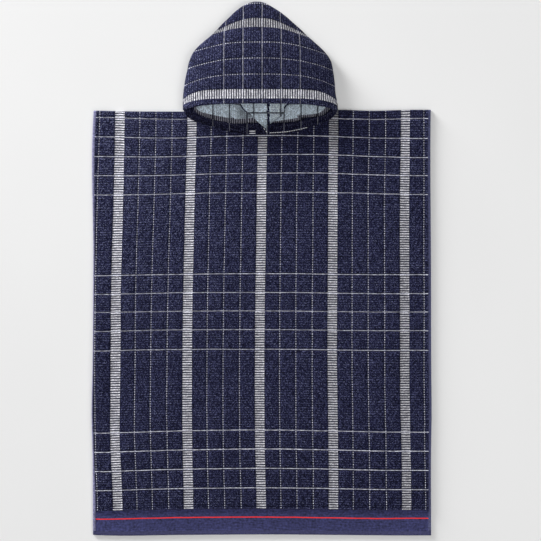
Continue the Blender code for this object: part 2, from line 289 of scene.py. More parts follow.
class NodeSketch:
    """Short ways to add nodes to one tree and join them."""

    def __init__(self, tree: bpy.types.NodeTree) -> None:
        """Keeps the tree."""
        self.tree = tree

    def add(self, kind: str, values: dict[int | str, object], **settings: object) -> bpy.types.Node:
        """Adds a node, sets its properties and feeds its inputs.

        Args:
            kind: The node's type.
            values: A wire or a plain value for each input's number or name.
            settings: Values for its properties.

        Returns:
            The node.
        """
        node = self.tree.nodes.new(kind)
        for name, value in settings.items():
            setattr(node, name, value)
        for key, value in values.items():
            self.join(value, node.inputs[key])
        return node

    def join(self, source: object, target: bpy.types.NodeSocket) -> None:
        """Links a wire to an input, or sets a plain value on it.

        Args:
            source: The wire or the value.
            target: The input.
        """
        if isinstance(source, Wire):
            self.tree.links.new(source.socket, target)
        else:
            target.default_value = source

    def wires(self, node: bpy.types.Node) -> dict[str, Wire]:
        """A node's outputs by name."""
        return {output.name: Wire(self, output) for output in node.outputs if output.name}

    def math(self, kind: str, *values: Value) -> Wire:
        """A Math node's result."""
        return Wire(self, self.add("ShaderNodeMath", dict(enumerate(values)), operation=kind).outputs[0])

    def fade(self, value: Value, low: Value, high: Value, to_low: float = 0.0,
             to_high: float = 1.0) -> Wire:
        """Maps a value with soft ends.

        Args:
            value: The value.
            low: The value that gives to_low.
            high: The value that gives to_high; it may be below low.
            to_low: Result at low.
            to_high: Result at high.

        Returns:
            The mapped value.
        """
        values = dict(enumerate((value, low, high, to_low, to_high)))
        node = self.add("ShaderNodeMapRange", values, interpolation_type="SMOOTHSTEP")
        return Wire(self, node.outputs[0])

    def mix(self, share: Value, first: Wire | Colour, second: Wire | Colour, blend: str = "MIX") -> Wire:
        """A colour between two others.

        Args:
            share: How much of the second colour.
            first: The first colour.
            second: The second colour.
            blend: How the second is laid over the first.

        Returns:
            The colour.
        """
        ends = [item if isinstance(item, Wire) else (*item, 1.0) for item in (first, second)]
        values = {0: share, 6: ends[0], 7: ends[1]}
        return Wire(self, self.add("ShaderNodeMix", values, data_type="RGBA", blend_type=blend).outputs[2])

    def split(self, vector: Wire) -> list[Wire]:
        """The parts of a vector."""
        return [Wire(self, part) for part in self.add("ShaderNodeSeparateXYZ", {0: vector}).outputs]

    def channels(self, colour: Wire) -> list[Wire]:
        """The channels of a colour."""
        return [Wire(self, part) for part in self.add("ShaderNodeSeparateColor", {0: colour}).outputs]

    def stretch(self, place: Wire, across: float, along: float) -> Wire:
        """A place multiplied by a factor each way."""
        values = {0: place, 1: (across, along, 1.0)}
        return Wire(self, self.add("ShaderNodeVectorMath", values, operation="MULTIPLY").outputs[0])

    def noise(self, place: Wire, scale: float, detail: float = 2.0, flat: bool = True) -> dict[str, Wire]:
        """A Noise Texture's outputs, on the flat cloth or in space."""
        values = {"Vector": place, "Scale": scale, "Detail": detail}
        return self.wires(self.add("ShaderNodeTexNoise", values, noise_dimensions="2D" if flat else "3D"))

    def level(self, place: Wire, scale: float, detail: float = 2.0, flat: bool = True) -> Wire:
        """Grey noise, on the flat cloth or in space."""
        return next(iter(self.noise(place, scale, detail, flat).values()))

    def tinted(self, colour: Wire | Colour, tone: Wire, blue_hold: float = 1.0) -> Wire:
        """A colour made lighter or darker by a tone.

        Args:
            colour: The colour.
            tone: The tone, about 1.
            blue_hold: Power on the tone for blue; below 1 light loops turn greyer and dark ones bluer.

        Returns:
            The new colour.
        """
        blue = tone if blue_hold == 1.0 else self.math("POWER", tone, blue_hold)
        grey = self.add("ShaderNodeCombineColor", {0: tone, 1: tone, 2: blue})
        return self.mix(1.0, colour, Wire(self, grey.outputs[0]), blend="MULTIPLY")

    def give(self, **values: Value) -> bpy.types.NodeTree:
        """Makes the outputs of a group, with underscores for spaces, and returns the group."""
        names = {name: name.replace("_", " ") for name in values}
        for name in names.values():
            self.tree.interface.new_socket(name, in_out="OUTPUT", socket_type="NodeSocketFloat")
        self.add("NodeGroupOutput", {names[name]: value for name, value in values.items()})
        return self.tree


def new_group(name: str, **inputs: float) -> tuple[NodeSketch, dict[str, Wire]]:
    """Starts a shader node group that is fed by the cloth's coordinates.

    Args:
        name: The group's name.
        inputs: Default values of its other inputs, with underscores for spaces.

    Returns:
        A sketch of the group and its inputs by name.
    """
    tree = bpy.data.node_groups.new(name, "ShaderNodeTree")
    tree.interface.new_socket("Cloth", in_out="INPUT", socket_type="NodeSocketVector")
    for key, value in inputs.items():
        label = key.replace("_", " ")
        socket = tree.interface.new_socket(label, in_out="INPUT", socket_type="NodeSocketFloat")
        socket.default_value = value
    sketch = NodeSketch(tree)
    return sketch, sketch.wires(sketch.add("NodeGroupInput", {}))


def check_group(pane: Windowpane) -> bpy.types.NodeTree:
    """The woven check as masks on the flat cloth, worked out in millimetres.

    Args:
        pane: Sizes of the check.

    Returns:
        A group that puts out the ribbed bands, their ribs, the dashed lines, the solid lines, painted shade
        in the grooves beside all of these, and the rows of the pile.
    """
    wanders, second_scale = ((0.035, 0.9), (0.40, 0.6)), 0.004
    jitter_scale, jitter = 0.16, 1.5
    rib_edge, rib_grain, rib_fade = (-0.40, 0.65), (14.0, 2.4), (0.30, 0.68, 0.62, 1.18)
    speck_grain, speck_fade = (1.9, 1.5, 1.0), (0.30, 0.42, 0.35, 1.0)
    worn_grain, worn_fade = (7.0, 7.0, 3.0), (0.32, 0.62, 0.50, 1.0)
    dash_fade = (-0.35, 0.60, 0.06, 1.0)
    band_edge, line_edge = (0.6, -0.4), (0.3, -0.4)
    groove_shade_start, groove_shade_fade, out_of_reach = 0.5, (2.9, 1.6), 50.0
    sketch, given = new_group("Windowpane Check", Band_Phase=0.0, Solid_Phase=0.0, Lowest_Solid=-10.0,
                              Line_Width=1.5 * MM, Evenness=0.0)
    flat = sketch.stretch(given["Cloth"], PER_MM, PER_MM)
    x, y = sketch.split(flat)[:2]

    def strayed(value: Wire, axis: int) -> Wire:
        """A coordinate with the threads' long and short wanders.

        Args:
            value: The coordinate.
            axis: 0 across, 1 along.

        Returns:
            The moved coordinate.
        """
        for scale, reach in wanders:
            channels = sketch.channels(sketch.noise(flat, scale + second_scale * axis)["Color"])
            value = value + (channels[axis] - 0.5) * reach
        return value

    def uneven(across: float, along: float, detail: float = 2.0) -> Wire:
        """Noise with its own length each way."""
        return sketch.level(sketch.stretch(flat, 1 / across, 1 / along), 1.0, detail)

    straight = y - given["Solid Phase"] * PER_MM
    across, along = strayed(x - given["Band Phase"] * PER_MM, 0), strayed(straight, 1)
    half = pane.band_pitch / MM / 2
    from_band = sketch.math("ABSOLUTE", sketch.math("WRAP", across, half, -half))
    edge = pane.band_width / MM / 2
    band = sketch.fade(from_band, *(edge + step for step in band_edge))

    shake = (sketch.level(flat, jitter_scale, 1.0) - 0.5) * jitter
    wave = sketch.math("COSINE", straight * (2 * math.pi * MM / pane.rib_pitch) + shake)
    each = sketch.fade(uneven(*rib_grain), *rib_fade)
    rib = sketch.fade(wave, *rib_edge) * each * sketch.fade(uneven(*speck_grain), *speck_fade)

    thin = sketch.math("ABSOLUTE", from_band - pane.thin_offset / MM)
    thin = sketch.math("MINIMUM", thin, half - from_band)
    worn = sketch.math("MAXIMUM", sketch.fade(uneven(*worn_grain), *worn_fade), given["Evenness"])
    dash = sketch.math("MAXIMUM", sketch.fade(wave, *dash_fade), given["Evenness"])
    half_line = given["Line Width"] * (PER_MM / 2)
    edges = [half_line + step for step in line_edge]

    half = pane.solid_repeat / MM / 2
    solid = from_group = sketch.math("ABSOLUTE", sketch.math("WRAP", along, half, -half))
    for number in range(1, pane.solid_reach + 1):
        away = sketch.math("ABSOLUTE", from_group - number * pane.solid_pitch / MM)
        solid = sketch.math("MINIMUM", solid, away)
    shown = sketch.math("GREATER_THAN", y, given["Lowest Solid"] * PER_MM)
    solid = solid + (1.0 - shown) * out_of_reach

    # Painted shade: darker cloth beside the bands and lines, in their sunken grooves
    beside_band = sketch.math("MAXIMUM", from_band, edge) - (edge + groove_shade_start)
    nearest = sketch.math("MINIMUM", thin, solid)
    nearest = sketch.math("MINIMUM", nearest, sketch.math("ABSOLUTE", beside_band))
    return sketch.give(Band=band, Rib=rib, Thin=sketch.fade(thin, *edges) * dash * worn,
                       Solid=sketch.fade(solid, *edges) * worn, Margin=sketch.fade(nearest, *groove_shade_fade),
                       Row=wave)


def loops_group() -> bpy.types.NodeTree:
    """Terry loops: a tone for each loop, about 1, with painted shade in the gaps between loops, and a
    height of 0 to 1.
    """
    gap_fade, gap_middle, evening = (0.25, 0.75, 1.0, 0.0), 0.6, 0.22
    fine_scale, broad_scale, broad_fade = 900.0, 45.0, (0.25, 0.75, 0.92, 1.08)
    gap_height, fibre_height = 0.7, 0.3
    sketch, given = new_group("Terry Loops", Loop_Size=2.0 * MM, Contrast=0.5)
    cloth, contrast = given["Cloth"], given["Contrast"]
    values = {"Vector": cloth, "Scale": 1.0 / given["Loop Size"]}
    cells = sketch.wires(sketch.add("ShaderNodeTexVoronoi", values, voronoi_dimensions="2D", feature="F1"))
    each = (sketch.channels(cells["Color"])[0] - 0.5) * 2.0
    gaps = sketch.fade(cells["Distance"], *gap_fade)
    fine, broad = sketch.level(cloth, fine_scale), sketch.level(cloth, broad_scale, 3.0)
    # Each loop's random tone, painted shade in the gaps between loops, and fine fibre noise
    light = each + (gaps - gap_middle) + (fine - 0.5)
    tone = sketch.math("EXPONENT", light * contrast) / (1.0 + contrast * contrast * evening)
    return sketch.give(Tone=tone * sketch.fade(broad, *broad_fade),
                       Height=gaps * gap_height + fine * fibre_height)


def flat_weave_group() -> bpy.types.NodeTree:
    """Flat plain weave: threads over and under with slubs, as a tone about 1 and a height of 0 to 1."""
    slub_stretch, mottle_scale = (60.0, 500.0), 260.0
    slub_gain, mottle_gain, cross_gain = 3.0, 4.0, 0.3
    sketch, given = new_group("Flat Weave", Thread=0.9 * MM, Contrast=0.15)
    cloth, contrast = given["Cloth"], given["Contrast"]
    waves = [sketch.math("SINE", part * math.pi / given["Thread"]) for part in sketch.split(cloth)[:2]]
    cross = waves[0] * waves[1]
    slub = sketch.level(sketch.stretch(cloth, *slub_stretch), 1.0)
    mottle = sketch.level(cloth, mottle_scale)
    tone = 1.0 + (slub - 0.5) * (contrast * slub_gain) + (mottle - 0.5) * (contrast * mottle_gain)
    return sketch.give(Tone=tone + cross * (contrast * cross_gain), Height=cross * 0.5 + 0.5)


class PaintedLight(Enum):
    """Which painted light and shade a cloth gets, as soft lighter and darker patches."""

    BODY = "Body Pile Lie"
    HOOD = "Hood Pile Lie"
    CHEEK = "Cheek Pile Lie"
    BORDER = "Border Lie"
    PLAIN = "Plain Lie"


EVERYWHERE = (-3.0, -2.0)
# Painted light and shade, as patches on the pile, then on the ribs: x where one starts, x where it is full,
# the same two for y, and how much lighter it is than 1
PAINTED_LIGHT_PATCHES: dict[PaintedLight, tuple[Rows, Rows]] = {
    # Body: painted light towards the upper left, painted shade towards the lower right, and the hood's
    # painted shadow on the front below and right of the hood; on the ribs, painted shade towards the right,
    # towards the foot and beside the hood
    PaintedLight.BODY: (
        ((0.04, -0.20, -0.20, 0.16, 0.45), (-0.30, 0.05, -0.20, -0.42, -0.22),
         (-0.16, -0.08, 0.165, 0.24, -0.42), (0.19, 0.27, 0.165, 0.24, 0.42)),
        ((-0.30, 0.30, *EVERYWHERE, -0.24), (*EVERYWHERE, 0.20, -0.10, -0.15),
         (-0.16, -0.08, 0.165, 0.25, -0.40), (0.17, 0.25, 0.165, 0.25, 0.40)),
    ),
    # Hood: painted shade towards the peak, painted light on both sides and along the brow's rim; on the
    # ribs, painted shade away from the brow and towards the left
    PaintedLight.HOOD: (
        ((0.125, 0.165, *EVERYWHERE, -0.22), (*EVERYWHERE, 0.05, 0.14, 0.18),
         (*EVERYWHERE, -0.05, -0.14, 0.08), (0.016, 0.010, *EVERYWHERE, 0.12)),
        ((0.03, 0.125, *EVERYWHERE, -0.42), (*EVERYWHERE, 0.13, -0.13, -0.20)),
    ),
    # Cheek: painted shade on the lining beside the left cheek's fold
    PaintedLight.CHEEK: (((0.021, 0.029, -0.254, -0.270, -0.52),), ()),
    # Border: painted light towards its left end
    PaintedLight.BORDER: (((-0.10, -0.28, *EVERYWHERE, 0.26),), ()),
    PaintedLight.PLAIN: ((), ()),
}


def painted_light_group(lie: PaintedLight) -> bpy.types.NodeTree:
    """Painted light and shade as soft lighter and darker patches, on a random unevenness of the pile.

    Args:
        lie: Which patches.

    Returns:
        A group with outputs Tone and Rib Tone, about 1.
    """
    uneven_scale, uneven_fade = 7.0, (0.3, 0.7, 0.94, 1.06)
    sketch, given = new_group(lie.value)
    x, y = sketch.split(given["Cloth"])[:2]
    tones = [sketch.fade(sketch.level(given["Cloth"], uneven_scale), *uneven_fade), 1.0]
    for number, patches in enumerate(PAINTED_LIGHT_PATCHES[lie]):
        tone = 1.0
        for start_x, full_x, start_y, full_y, gain in patches:
            tone = tone + sketch.fade(x, start_x, full_x) * sketch.fade(y, start_y, full_y) * gain
        tones[number] = tone * tones[number]
    return sketch.give(Tone=tones[0], Rib_Tone=tones[1])


@dataclass
class ShaderLibrary:
    """The node groups that the finishes share."""

    check: bpy.types.NodeTree = field(default_factory=lambda: check_group(PANE))
    loops: bpy.types.NodeTree = field(default_factory=loops_group)
    weave: bpy.types.NodeTree = field(default_factory=flat_weave_group)
    # The painted light and shade groups, one for each kind
    lies: dict[PaintedLight, bpy.types.NodeTree] = field(
        default_factory=lambda: {lie: painted_light_group(lie) for lie in PaintedLight})


class ClothMaterial:
    """A material in the making, fed by the cloth's coordinates."""

    def __init__(self, name: str, roughness: float, sheen: float, sheen_tint: Colour = (1.0, 1.0, 1.0),
                 specular: float = 0.15) -> None:
        """Starts it with a plain matt shader.

        Args:
            name: The material's name.
            roughness: How matt it is.
            sheen: Weight of the soft edge glow of fibres.
            sheen_tint: Colour of that glow.
            specular: Level of its mirror shine.
        """
        self.material = bpy.data.materials.new(name)
        self.material.use_nodes = True
        self.sketch = NodeSketch(self.material.node_tree)
        self.shader = self.material.node_tree.nodes["Principled BSDF"]
        values = {"Roughness": roughness, "Metallic": 0.0, "Specular IOR Level": specular,
                  "Sheen Weight": sheen, "Sheen Roughness": 0.6, "Sheen Tint": (*sheen_tint, 1.0)}
        for socket, value in values.items():
            self.shader.inputs[socket].default_value = value

    def cloth(self) -> Wire:
        """The coordinates on the flat cloth."""
        return Wire(self.sketch, self.sketch.add("ShaderNodeUVMap", {}, uv_map=CLOTH_MAP).outputs[0])

    def space(self) -> Wire:
        """The object's own coordinates."""
        return self.sketch.wires(self.sketch.add("ShaderNodeTexCoord", {}))["Object"]

    def place(self, tree: bpy.types.NodeTree, cloth: Wire, **values: float) -> dict[str, Wire]:
        """Puts a shared group into the material.

        Args:
            tree: The group.
            cloth: The coordinates that feed it.
            values: Plain values for its other inputs, with underscores for spaces.

        Returns:
            Its outputs by name.
        """
        inputs = {"Cloth": cloth, **{name.replace("_", " "): value for name, value in values.items()}}
        return self.sketch.wires(self.sketch.add("ShaderNodeGroup", inputs, node_tree=tree))

    def finish(self, colour: Wire, height: Wire | None = None, strength: float = 0.0,
               distance: float = 0.0) -> bpy.types.Material:
        """Joins a colour and a bump to the shader.

        Args:
            colour: The base colour.
            height: The bump's height, if there is one.
            strength: The bump's strength.
            distance: The bump's distance.

        Returns:
            The finished material.
        """
        self.sketch.join(colour, self.shader.inputs["Base Color"])
        if height:
            values = {"Strength": strength, "Distance": distance, "Height": height}
            bump = self.sketch.add("ShaderNodeBump", values)
            self.sketch.join(Wire(self.sketch, bump.outputs[0]), self.shader.inputs["Normal"])
        return self.material


@dataclass(frozen=True)
class TerryFinish:
    """Looped terry with the woven check in it."""

    name: str
    ground: Colour
    line: Colour
    ridge: Colour
    furrow: Colour
    band_phase: float = 0.0
    solid_phase: float = BODY_SOLID_PHASE
    lowest_solid: float = -415.0 * MM
    loop_size: float = 1.2 * MM
    contrast: float = 2.2
    fine_size: float = 1.3 * MM
    fine_contrast: float = 0.30
    row_depth: float = 0.58
    # Strength of the painted shade beside the bands and lines
    groove_shade: float = 0.35
    bump: float = 0.75
    bump_distance: float = 1.0 * MM
    rib_height: float = 0.55
    thread_height: float = 0.15
    roughness: float = 0.95
    sheen: float = 0.06
    sheen_tint: Colour = (0.70, 0.74, 1.0)
    specular: float = 0.06
    thin_strength: float = 1.0
    solid_strength: float = 1.0
    line_width: float = 1.35 * MM
    evenness: float = 0.0
    # Which painted light and shade patches the pile gets
    lie: PaintedLight = PaintedLight.PLAIN
    rise: float = 1.0
    blue_hold: float = 0.72

    def dress(self, library: ShaderLibrary) -> bpy.types.Material:
        """Builds the material.

        Args:
            library: The shared node groups.

        Returns:
            A material for faces that carry the cloth's coordinates.
        """
        draft = ClothMaterial(self.name, self.roughness, self.sheen, self.sheen_tint, self.specular)
        sketch, cloth = draft.sketch, draft.cloth()
        check = draft.place(library.check, cloth, Band_Phase=self.band_phase, Solid_Phase=self.solid_phase,
                            Lowest_Solid=self.lowest_solid, Line_Width=self.line_width,
                            Evenness=self.evenness)
        loops = draft.place(library.loops, cloth, Loop_Size=self.loop_size, Contrast=self.contrast)
        fine = draft.place(library.loops, cloth, Loop_Size=self.fine_size, Contrast=self.fine_contrast)
        # Painted light and shade patches, on the pile's random unevenness
        lie = draft.place(library.lies[self.lie], cloth)
        rows = (1.0 + check["Row"] * self.row_depth) * self.rise * lie["Tone"]
        # Painted shade beside the bands and lines
        shade = 1.0 - check["Margin"] * self.groove_shade
        ground = sketch.tinted(self.ground, loops["Tone"] * rows * shade, self.blue_hold)
        ribs = sketch.mix(check["Rib"], self.furrow, self.ridge)
        ribbed = sketch.tinted(ribs, fine["Tone"] * lie["Rib Tone"])
        lines = sketch.math("MAXIMUM", check["Thin"] * self.thin_strength,
                            check["Solid"] * self.solid_strength)
        colour = sketch.mix(check["Band"], ground, ribbed)
        colour = sketch.mix(lines, colour, sketch.tinted(self.line, fine["Tone"]))
        height = (loops["Height"] * (1.0 - sketch.math("MAXIMUM", check["Band"], lines))
                  + check["Rib"] * self.rib_height * check["Band"] + fine["Height"] * self.thread_height)
        return draft.finish(colour, height, self.bump, self.bump_distance)


@dataclass(frozen=True)
class FlatWovenFinish:
    """Flat-woven cloth: the border, with its coloured line, and the hems."""

    name: str
    ground: Colour
    line: Colour = (0.88, 0.030, 0.022)
    line_place: float = -445.2 * MM
    line_width: float = 1.85 * MM
    line_half_length: float = 0.0
    line_edge: float = 0.25 * MM
    line_end: float = 0.5 * MM
    line_height: float = 0.6
    wander: float = 1.0 * MM
    wander_scale: float = 25.0
    thread: float = 0.9 * MM
    contrast: float = 0.45
    roughness: float = 0.85
    sheen: float = 0.08
    sheen_tint: Colour = (0.8, 0.8, 1.0)
    bump: float = 0.35
    bump_distance: float = 0.3 * MM
    # Which painted light patches the cloth gets
    lie: PaintedLight = PaintedLight.PLAIN

    def dress(self, library: ShaderLibrary) -> bpy.types.Material:
        """Builds the material.

        Args:
            library: The shared node groups.

        Returns:
            A material for faces that carry the cloth's coordinates.
        """
        draft = ClothMaterial(self.name, self.roughness, self.sheen, self.sheen_tint)
        sketch, cloth = draft.sketch, draft.cloth()
        weave = draft.place(library.weave, cloth, Thread=self.thread, Contrast=self.contrast)
        # Painted light patches, on a random unevenness
        lie = draft.place(library.lies[self.lie], cloth)
        colour = sketch.tinted(self.ground, weave["Tone"] * lie["Tone"])
        height = weave["Height"]
        if self.line_half_length:
            x, y = sketch.split(cloth)[:2]
            wander = (sketch.level(cloth, self.wander_scale) - 0.5) * self.wander
            away = sketch.math("ABSOLUTE", wander + (y - self.line_place))
            half, reach = self.line_width / 2, self.line_half_length
            ends = sketch.fade(sketch.math("ABSOLUTE", x), reach + self.line_end, reach - self.line_end)
            mask = sketch.fade(away, half + self.line_edge, half - self.line_edge) * ends
            colour = sketch.mix(mask, colour, self.line)
            height = height + mask * self.line_height
        return draft.finish(colour, height, self.bump, self.bump_distance)


@dataclass(frozen=True)
class ThreadFinish:
    """Sewing thread with a fine twist."""

    name: str
    colour: Colour
    twist: float = 0.6 * MM
    shading: Pair = (0.75, 1.1)
    roughness: float = 0.7
    sheen: float = 0.1
    bump: float = 0.4
    bump_distance: float = 0.1 * MM

    def dress(self) -> bpy.types.Material:
        """Builds the material and returns it."""
        draft = ClothMaterial(self.name, self.roughness, self.sheen)
        values = {"Vector": draft.space(), "Scale": 1 / (2 * math.pi * self.twist)}
        node = draft.sketch.add("ShaderNodeTexWave", values, wave_type="BANDS", bands_direction="DIAGONAL")
        wave = draft.sketch.wires(node)["Fac"]
        tone = draft.sketch.fade(wave, 0.0, 1.0, *self.shading)
        return draft.finish(draft.sketch.tinted(self.colour, tone), wave, self.bump, self.bump_distance)


# -------------------- Meshes --------------------


@dataclass
class MeshDraft:
    """A mesh in the making, with each face corner's place on the flat cloth."""

    points: list = field(default_factory=list)
    faces: list = field(default_factory=list)
    places: list = field(default_factory=list)
    finishes: list = field(default_factory=list)

    def add_points(self, points: np.ndarray) -> np.ndarray:
        """Adds an array of points and returns their numbers in the same layout."""
        start = len(self.points)
        self.points += points.reshape(-1, 3).tolist()
        return np.arange(start, len(self.points)).reshape(points.shape[:-1])

    def add_face(self, corners: Sequence[int], places: Rows, finish: int, turned: bool = False) -> None:
        """Adds one face.

        Args:
            corners: Numbers of its points.
            places: Their places on the flat cloth.
            finish: Its finish.
            turned: Whether it is turned over.
        """
        order = slice(None, None, -1 if turned else None)
        self.faces.append([int(corner) for corner in corners][order])
        self.places += [(float(across), float(along)) for across, along in places][order]
        self.finishes.append(int(finish))

    def add_grid(self, numbers: np.ndarray, places: np.ndarray, finish: Callable[[int, int], int],
                 upward: bool = True) -> None:
        """Adds the quads of a grid of points.

        Args:
            numbers: Point numbers, rows by columns.
            places: Places on the flat cloth in the same layout.
            finish: Gives a quad's finish from its row and column.
            upward: Whether the faces look up when rows run to +Y and columns to +X.
        """
        for row in range(numbers.shape[0] - 1):
            for column in range(numbers.shape[1] - 1):
                spots = [(row, column), (row, column + 1), (row + 1, column + 1), (row + 1, column)]
                self.add_face([numbers[spot] for spot in spots], [places[spot] for spot in spots],
                              finish(row, column), turned=not upward)

    def build(self, name: str, materials: Sequence[bpy.types.Material], weld: float = 0.0,
              sharp: float = 60.0) -> bpy.types.Object:
        """Makes the object.

        Args:
            name: The piece's name.
            materials: Its materials, in the order of the finish numbers.
            weld: Points closer than this are joined.
            sharp: Edges that bend by more degrees than this stay sharp.

        Returns:
            The new object, in the scene.
        """
        least_area, least_edge = 1e-12, 1e-7
        mesh = bpy.data.meshes.new(name)
        mesh.from_pydata(self.points, [], self.faces)
        layer = mesh.uv_layers.new(name=CLOTH_MAP)
        layer.data.foreach_set("uv", np.array(self.places, np.float32).ravel())
        mesh.polygons.foreach_set("material_index", np.array(self.finishes, np.int32))
        for material in materials:
            mesh.materials.append(material)
        draft = bmesh.new()
        draft.from_mesh(mesh)
        if weld:
            bmesh.ops.remove_doubles(draft, verts=draft.verts, dist=weld)
        flat = [face for face in draft.faces if face.calc_area() < least_area]
        edges = list({edge for face in flat for edge in face.edges})
        bmesh.ops.dissolve_degenerate(draft, dist=least_edge, edges=edges)
        open_edges = sum(1 for edge in draft.edges if not edge.is_manifold)
        draft.to_mesh(mesh)
        draft.free()
        mesh.shade_smooth()
        mesh.set_sharp_from_angle(angle=math.radians(sharp))
        mesh.update()
        item = bpy.data.objects.new(name, mesh)
        bpy.context.scene.collection.objects.link(item)
        LOG.info("%s: %d points, %d faces, %d open edges", name, len(mesh.vertices), len(mesh.polygons),
                 open_edges)
        return item


def register(piece: bpy.types.Object, replaced: Sequence[str] = ()) -> bpy.types.Object:
    """Says which body a piece rides on and the nodes it stands for.

    Args:
        piece: The finished piece.
        replaced: Names of the nodes that it replaces.

    Returns:
        The same piece.
    """
    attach(piece, BODY)
    if replaced:
        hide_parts(*replaced)
    return piece


# -------------------- Body panels --------------------


class Side(IntEnum):
    """Columns of the tables that run along both sides."""

    LEFT = 1
    RIGHT = 2


class End(IntEnum):
    """Columns of the table that runs across both ends."""

    FOOT = 1
    SHOULDER = 2


@dataclass(frozen=True)
class BodyCut:
    """Sizes that the front and the back share, and how their edges and pattern are laid."""

    half_width: float = 300.0 * MM
    shoulder: float = 280.5 * MM
    foot: float = -472.4 * MM
    gap: float = 0.3 * MM
    terry: float = 3.0 * MM
    border: float = 1.4 * MM
    hem: float = 1.7 * MM
    foot_thick: float = 1.45 * MM
    foot_hem: float = 8.0 * MM
    border_top: float = -430.2 * MM
    edge_round: float = 1.2 * MM
    neck_x: float = 6.0 * MM
    neck_half_width: float = 112.0 * MM
    neck_depth: float = 41.5 * MM
    squeeze_from: float = 232.0 * MM
    corner_cut: float = 1.8 * MM
    # Along the side: y, left edge, right edge
    side_wander: Rows = (
        (0.281, 0.0022, 0.0000), (0.250, 0.0006, -0.0004), (0.020, 0.0015, 0.0004),
        (-0.180, 0.0000, 0.0009), (-0.262, -0.0015, 0.0015), (-0.320, 0.0000, 0.0006),
        (-0.473, 0.0010, 0.0006),
    )
    # Across the ends: x, foot, shoulder
    end_wander: Rows = (
        (-0.300, 0.0000, 0.0000), (-0.270, -0.0011, -0.0008), (-0.150, -0.0002, -0.0018),
        (0.020, 0.0008, -0.0006), (0.150, -0.0002, 0.0010), (0.190, -0.0006, -0.0004),
        (0.260, -0.0011, 0.0012), (0.300, -0.0009, 0.0014),
    )
    # How far up the cross threads bow: y, then millimetres at each of the places across
    lift_rows: Rows = (
        (0.280, -0.7, -3.0, -4.4, -2.8, 0.2, 0.2, -2.6, -3.6, -4.6, -2.2),
        (0.269, -0.7, -3.1, -4.4, -2.5, 0.3, 0.4, -2.3, -3.4, -4.6, -2.5),
        (0.235, -0.9, -3.1, -3.6, -1.0, 1.0, 1.3, 0.4, -1.3, -3.6, -3.8),
        (0.201, -2.0, -3.0, -2.4, 0.2, 1.0, 1.9, 1.6, 0.2, -2.5, -4.1),
        (0.167, -2.0, -2.1, -0.9, 1.5, 2.0, 2.9, 2.8, 1.3, -0.7, -2.0),
        (0.133, -2.2, -1.7, 0.0, 1.7, 1.9, 2.8, 2.5, 1.6, 0.0, -1.5),
        (-0.011, -1.5, 0.1, 0.8, 1.9, 2.2, 2.3, 1.5, 0.7, 0.4, 0.3),
        (-0.045, -0.7, 1.0, 2.4, 2.8, 2.8, 2.8, 2.1, 1.3, 0.8, 0.6),
        (-0.079, 1.4, 2.7, 3.5, 4.2, 4.4, 4.0, 3.1, 2.7, 2.1, 2.2),
        (-0.113, 1.6, 3.6, 4.5, 4.8, 4.9, 4.7, 4.0, 3.3, 3.0, 2.9),
        (-0.147, 1.1, 2.8, 3.6, 3.9, 3.8, 3.9, 3.2, 2.4, 1.8, 2.0),
        (-0.291, -0.8, 1.4, 3.2, 4.4, 5.0, 4.7, 3.4, 2.7, 1.3, 0.9),
        (-0.325, -0.8, 1.6, 3.2, 4.6, 5.3, 5.0, 3.9, 3.2, 1.4, 1.2),
        (-0.393, -0.8, 1.5, 3.0, 3.7, 4.4, 4.1, 3.3, 2.5, 1.2, 1.0),
        (-0.445, 0.7, 2.2, 3.6, 4.1, 4.6, 4.1, 3.4, 2.6, 1.9, 2.3),
    )
    lift_columns: Series = (
        -0.276, -0.205, -0.148, -0.079, -0.021, 0.049, 0.106, 0.147, 0.205, 0.273)
    # How far the long threads stray to the right: y, then millimetres at each of the places across
    lean_rows: Rows = (
        (0.280, 2.0, 3.0, 3.2, 3.8, 2.6, 2.4, 1.0, 1.0, 0.8, 1.6, -1.0),
        (0.216, 0.4, 2.2, 2.6, 3.0, 1.6, 1.7, 0.5, 0.5, 0.2, 1.0, -1.1),
        (0.160, -1.5, 1.2, 1.0, 1.1, 0.3, 0.3, -0.6, -0.3, -1.2, 0.2, -0.9),
        (0.093, -3.2, -0.3, -0.9, -0.6, -1.2, -0.5, -1.4, -0.5, -1.5, -0.4, -1.1),
        (0.027, -4.6, -2.2, -3.0, -2.0, -2.4, -1.2, -1.7, -0.9, -1.4, -0.3, -1.1),
        (-0.060, -6.2, -4.2, -5.0, -3.8, -3.9, -2.6, -2.8, -1.3, -1.2, -0.1, -0.5),
        (-0.127, -7.0, -4.2, -6.1, -4.4, -4.5, -3.1, -2.7, -1.6, -1.4, 0.2, -0.6),
        (-0.200, -7.2, -4.8, -6.8, -4.8, -5.0, -3.4, -2.9, -1.3, -1.1, 0.1, -0.7),
        (-0.253, -6.8, -5.7, -7.3, -4.9, -5.0, -3.1, -2.7, -0.4, -0.4, 1.0, 0.3),
        (-0.305, -6.0, -5.9, -6.5, -4.2, -4.6, -2.7, -2.4, 0.0, 0.5, 2.4, 0.3),
        (-0.345, -4.9, -4.0, -5.2, -3.9, -4.0, -2.0, -1.5, 0.6, 0.9, 3.0, 1.0),
        (-0.407, -2.5, -1.1, -3.4, -2.5, -2.0, -0.5, -0.8, 0.6, 1.3, 3.6, 2.1),
        (-0.475, -1.5, 0.0, -3.0, -2.0, -1.5, 0.0, -0.5, 0.6, 1.5, 3.8, 2.4),
    )
    lean_columns: Series = (
        -0.2889, -0.254, -0.1905, -0.127, -0.0635, 0.0, 0.0635, 0.127, 0.1905, 0.254, 0.2889)
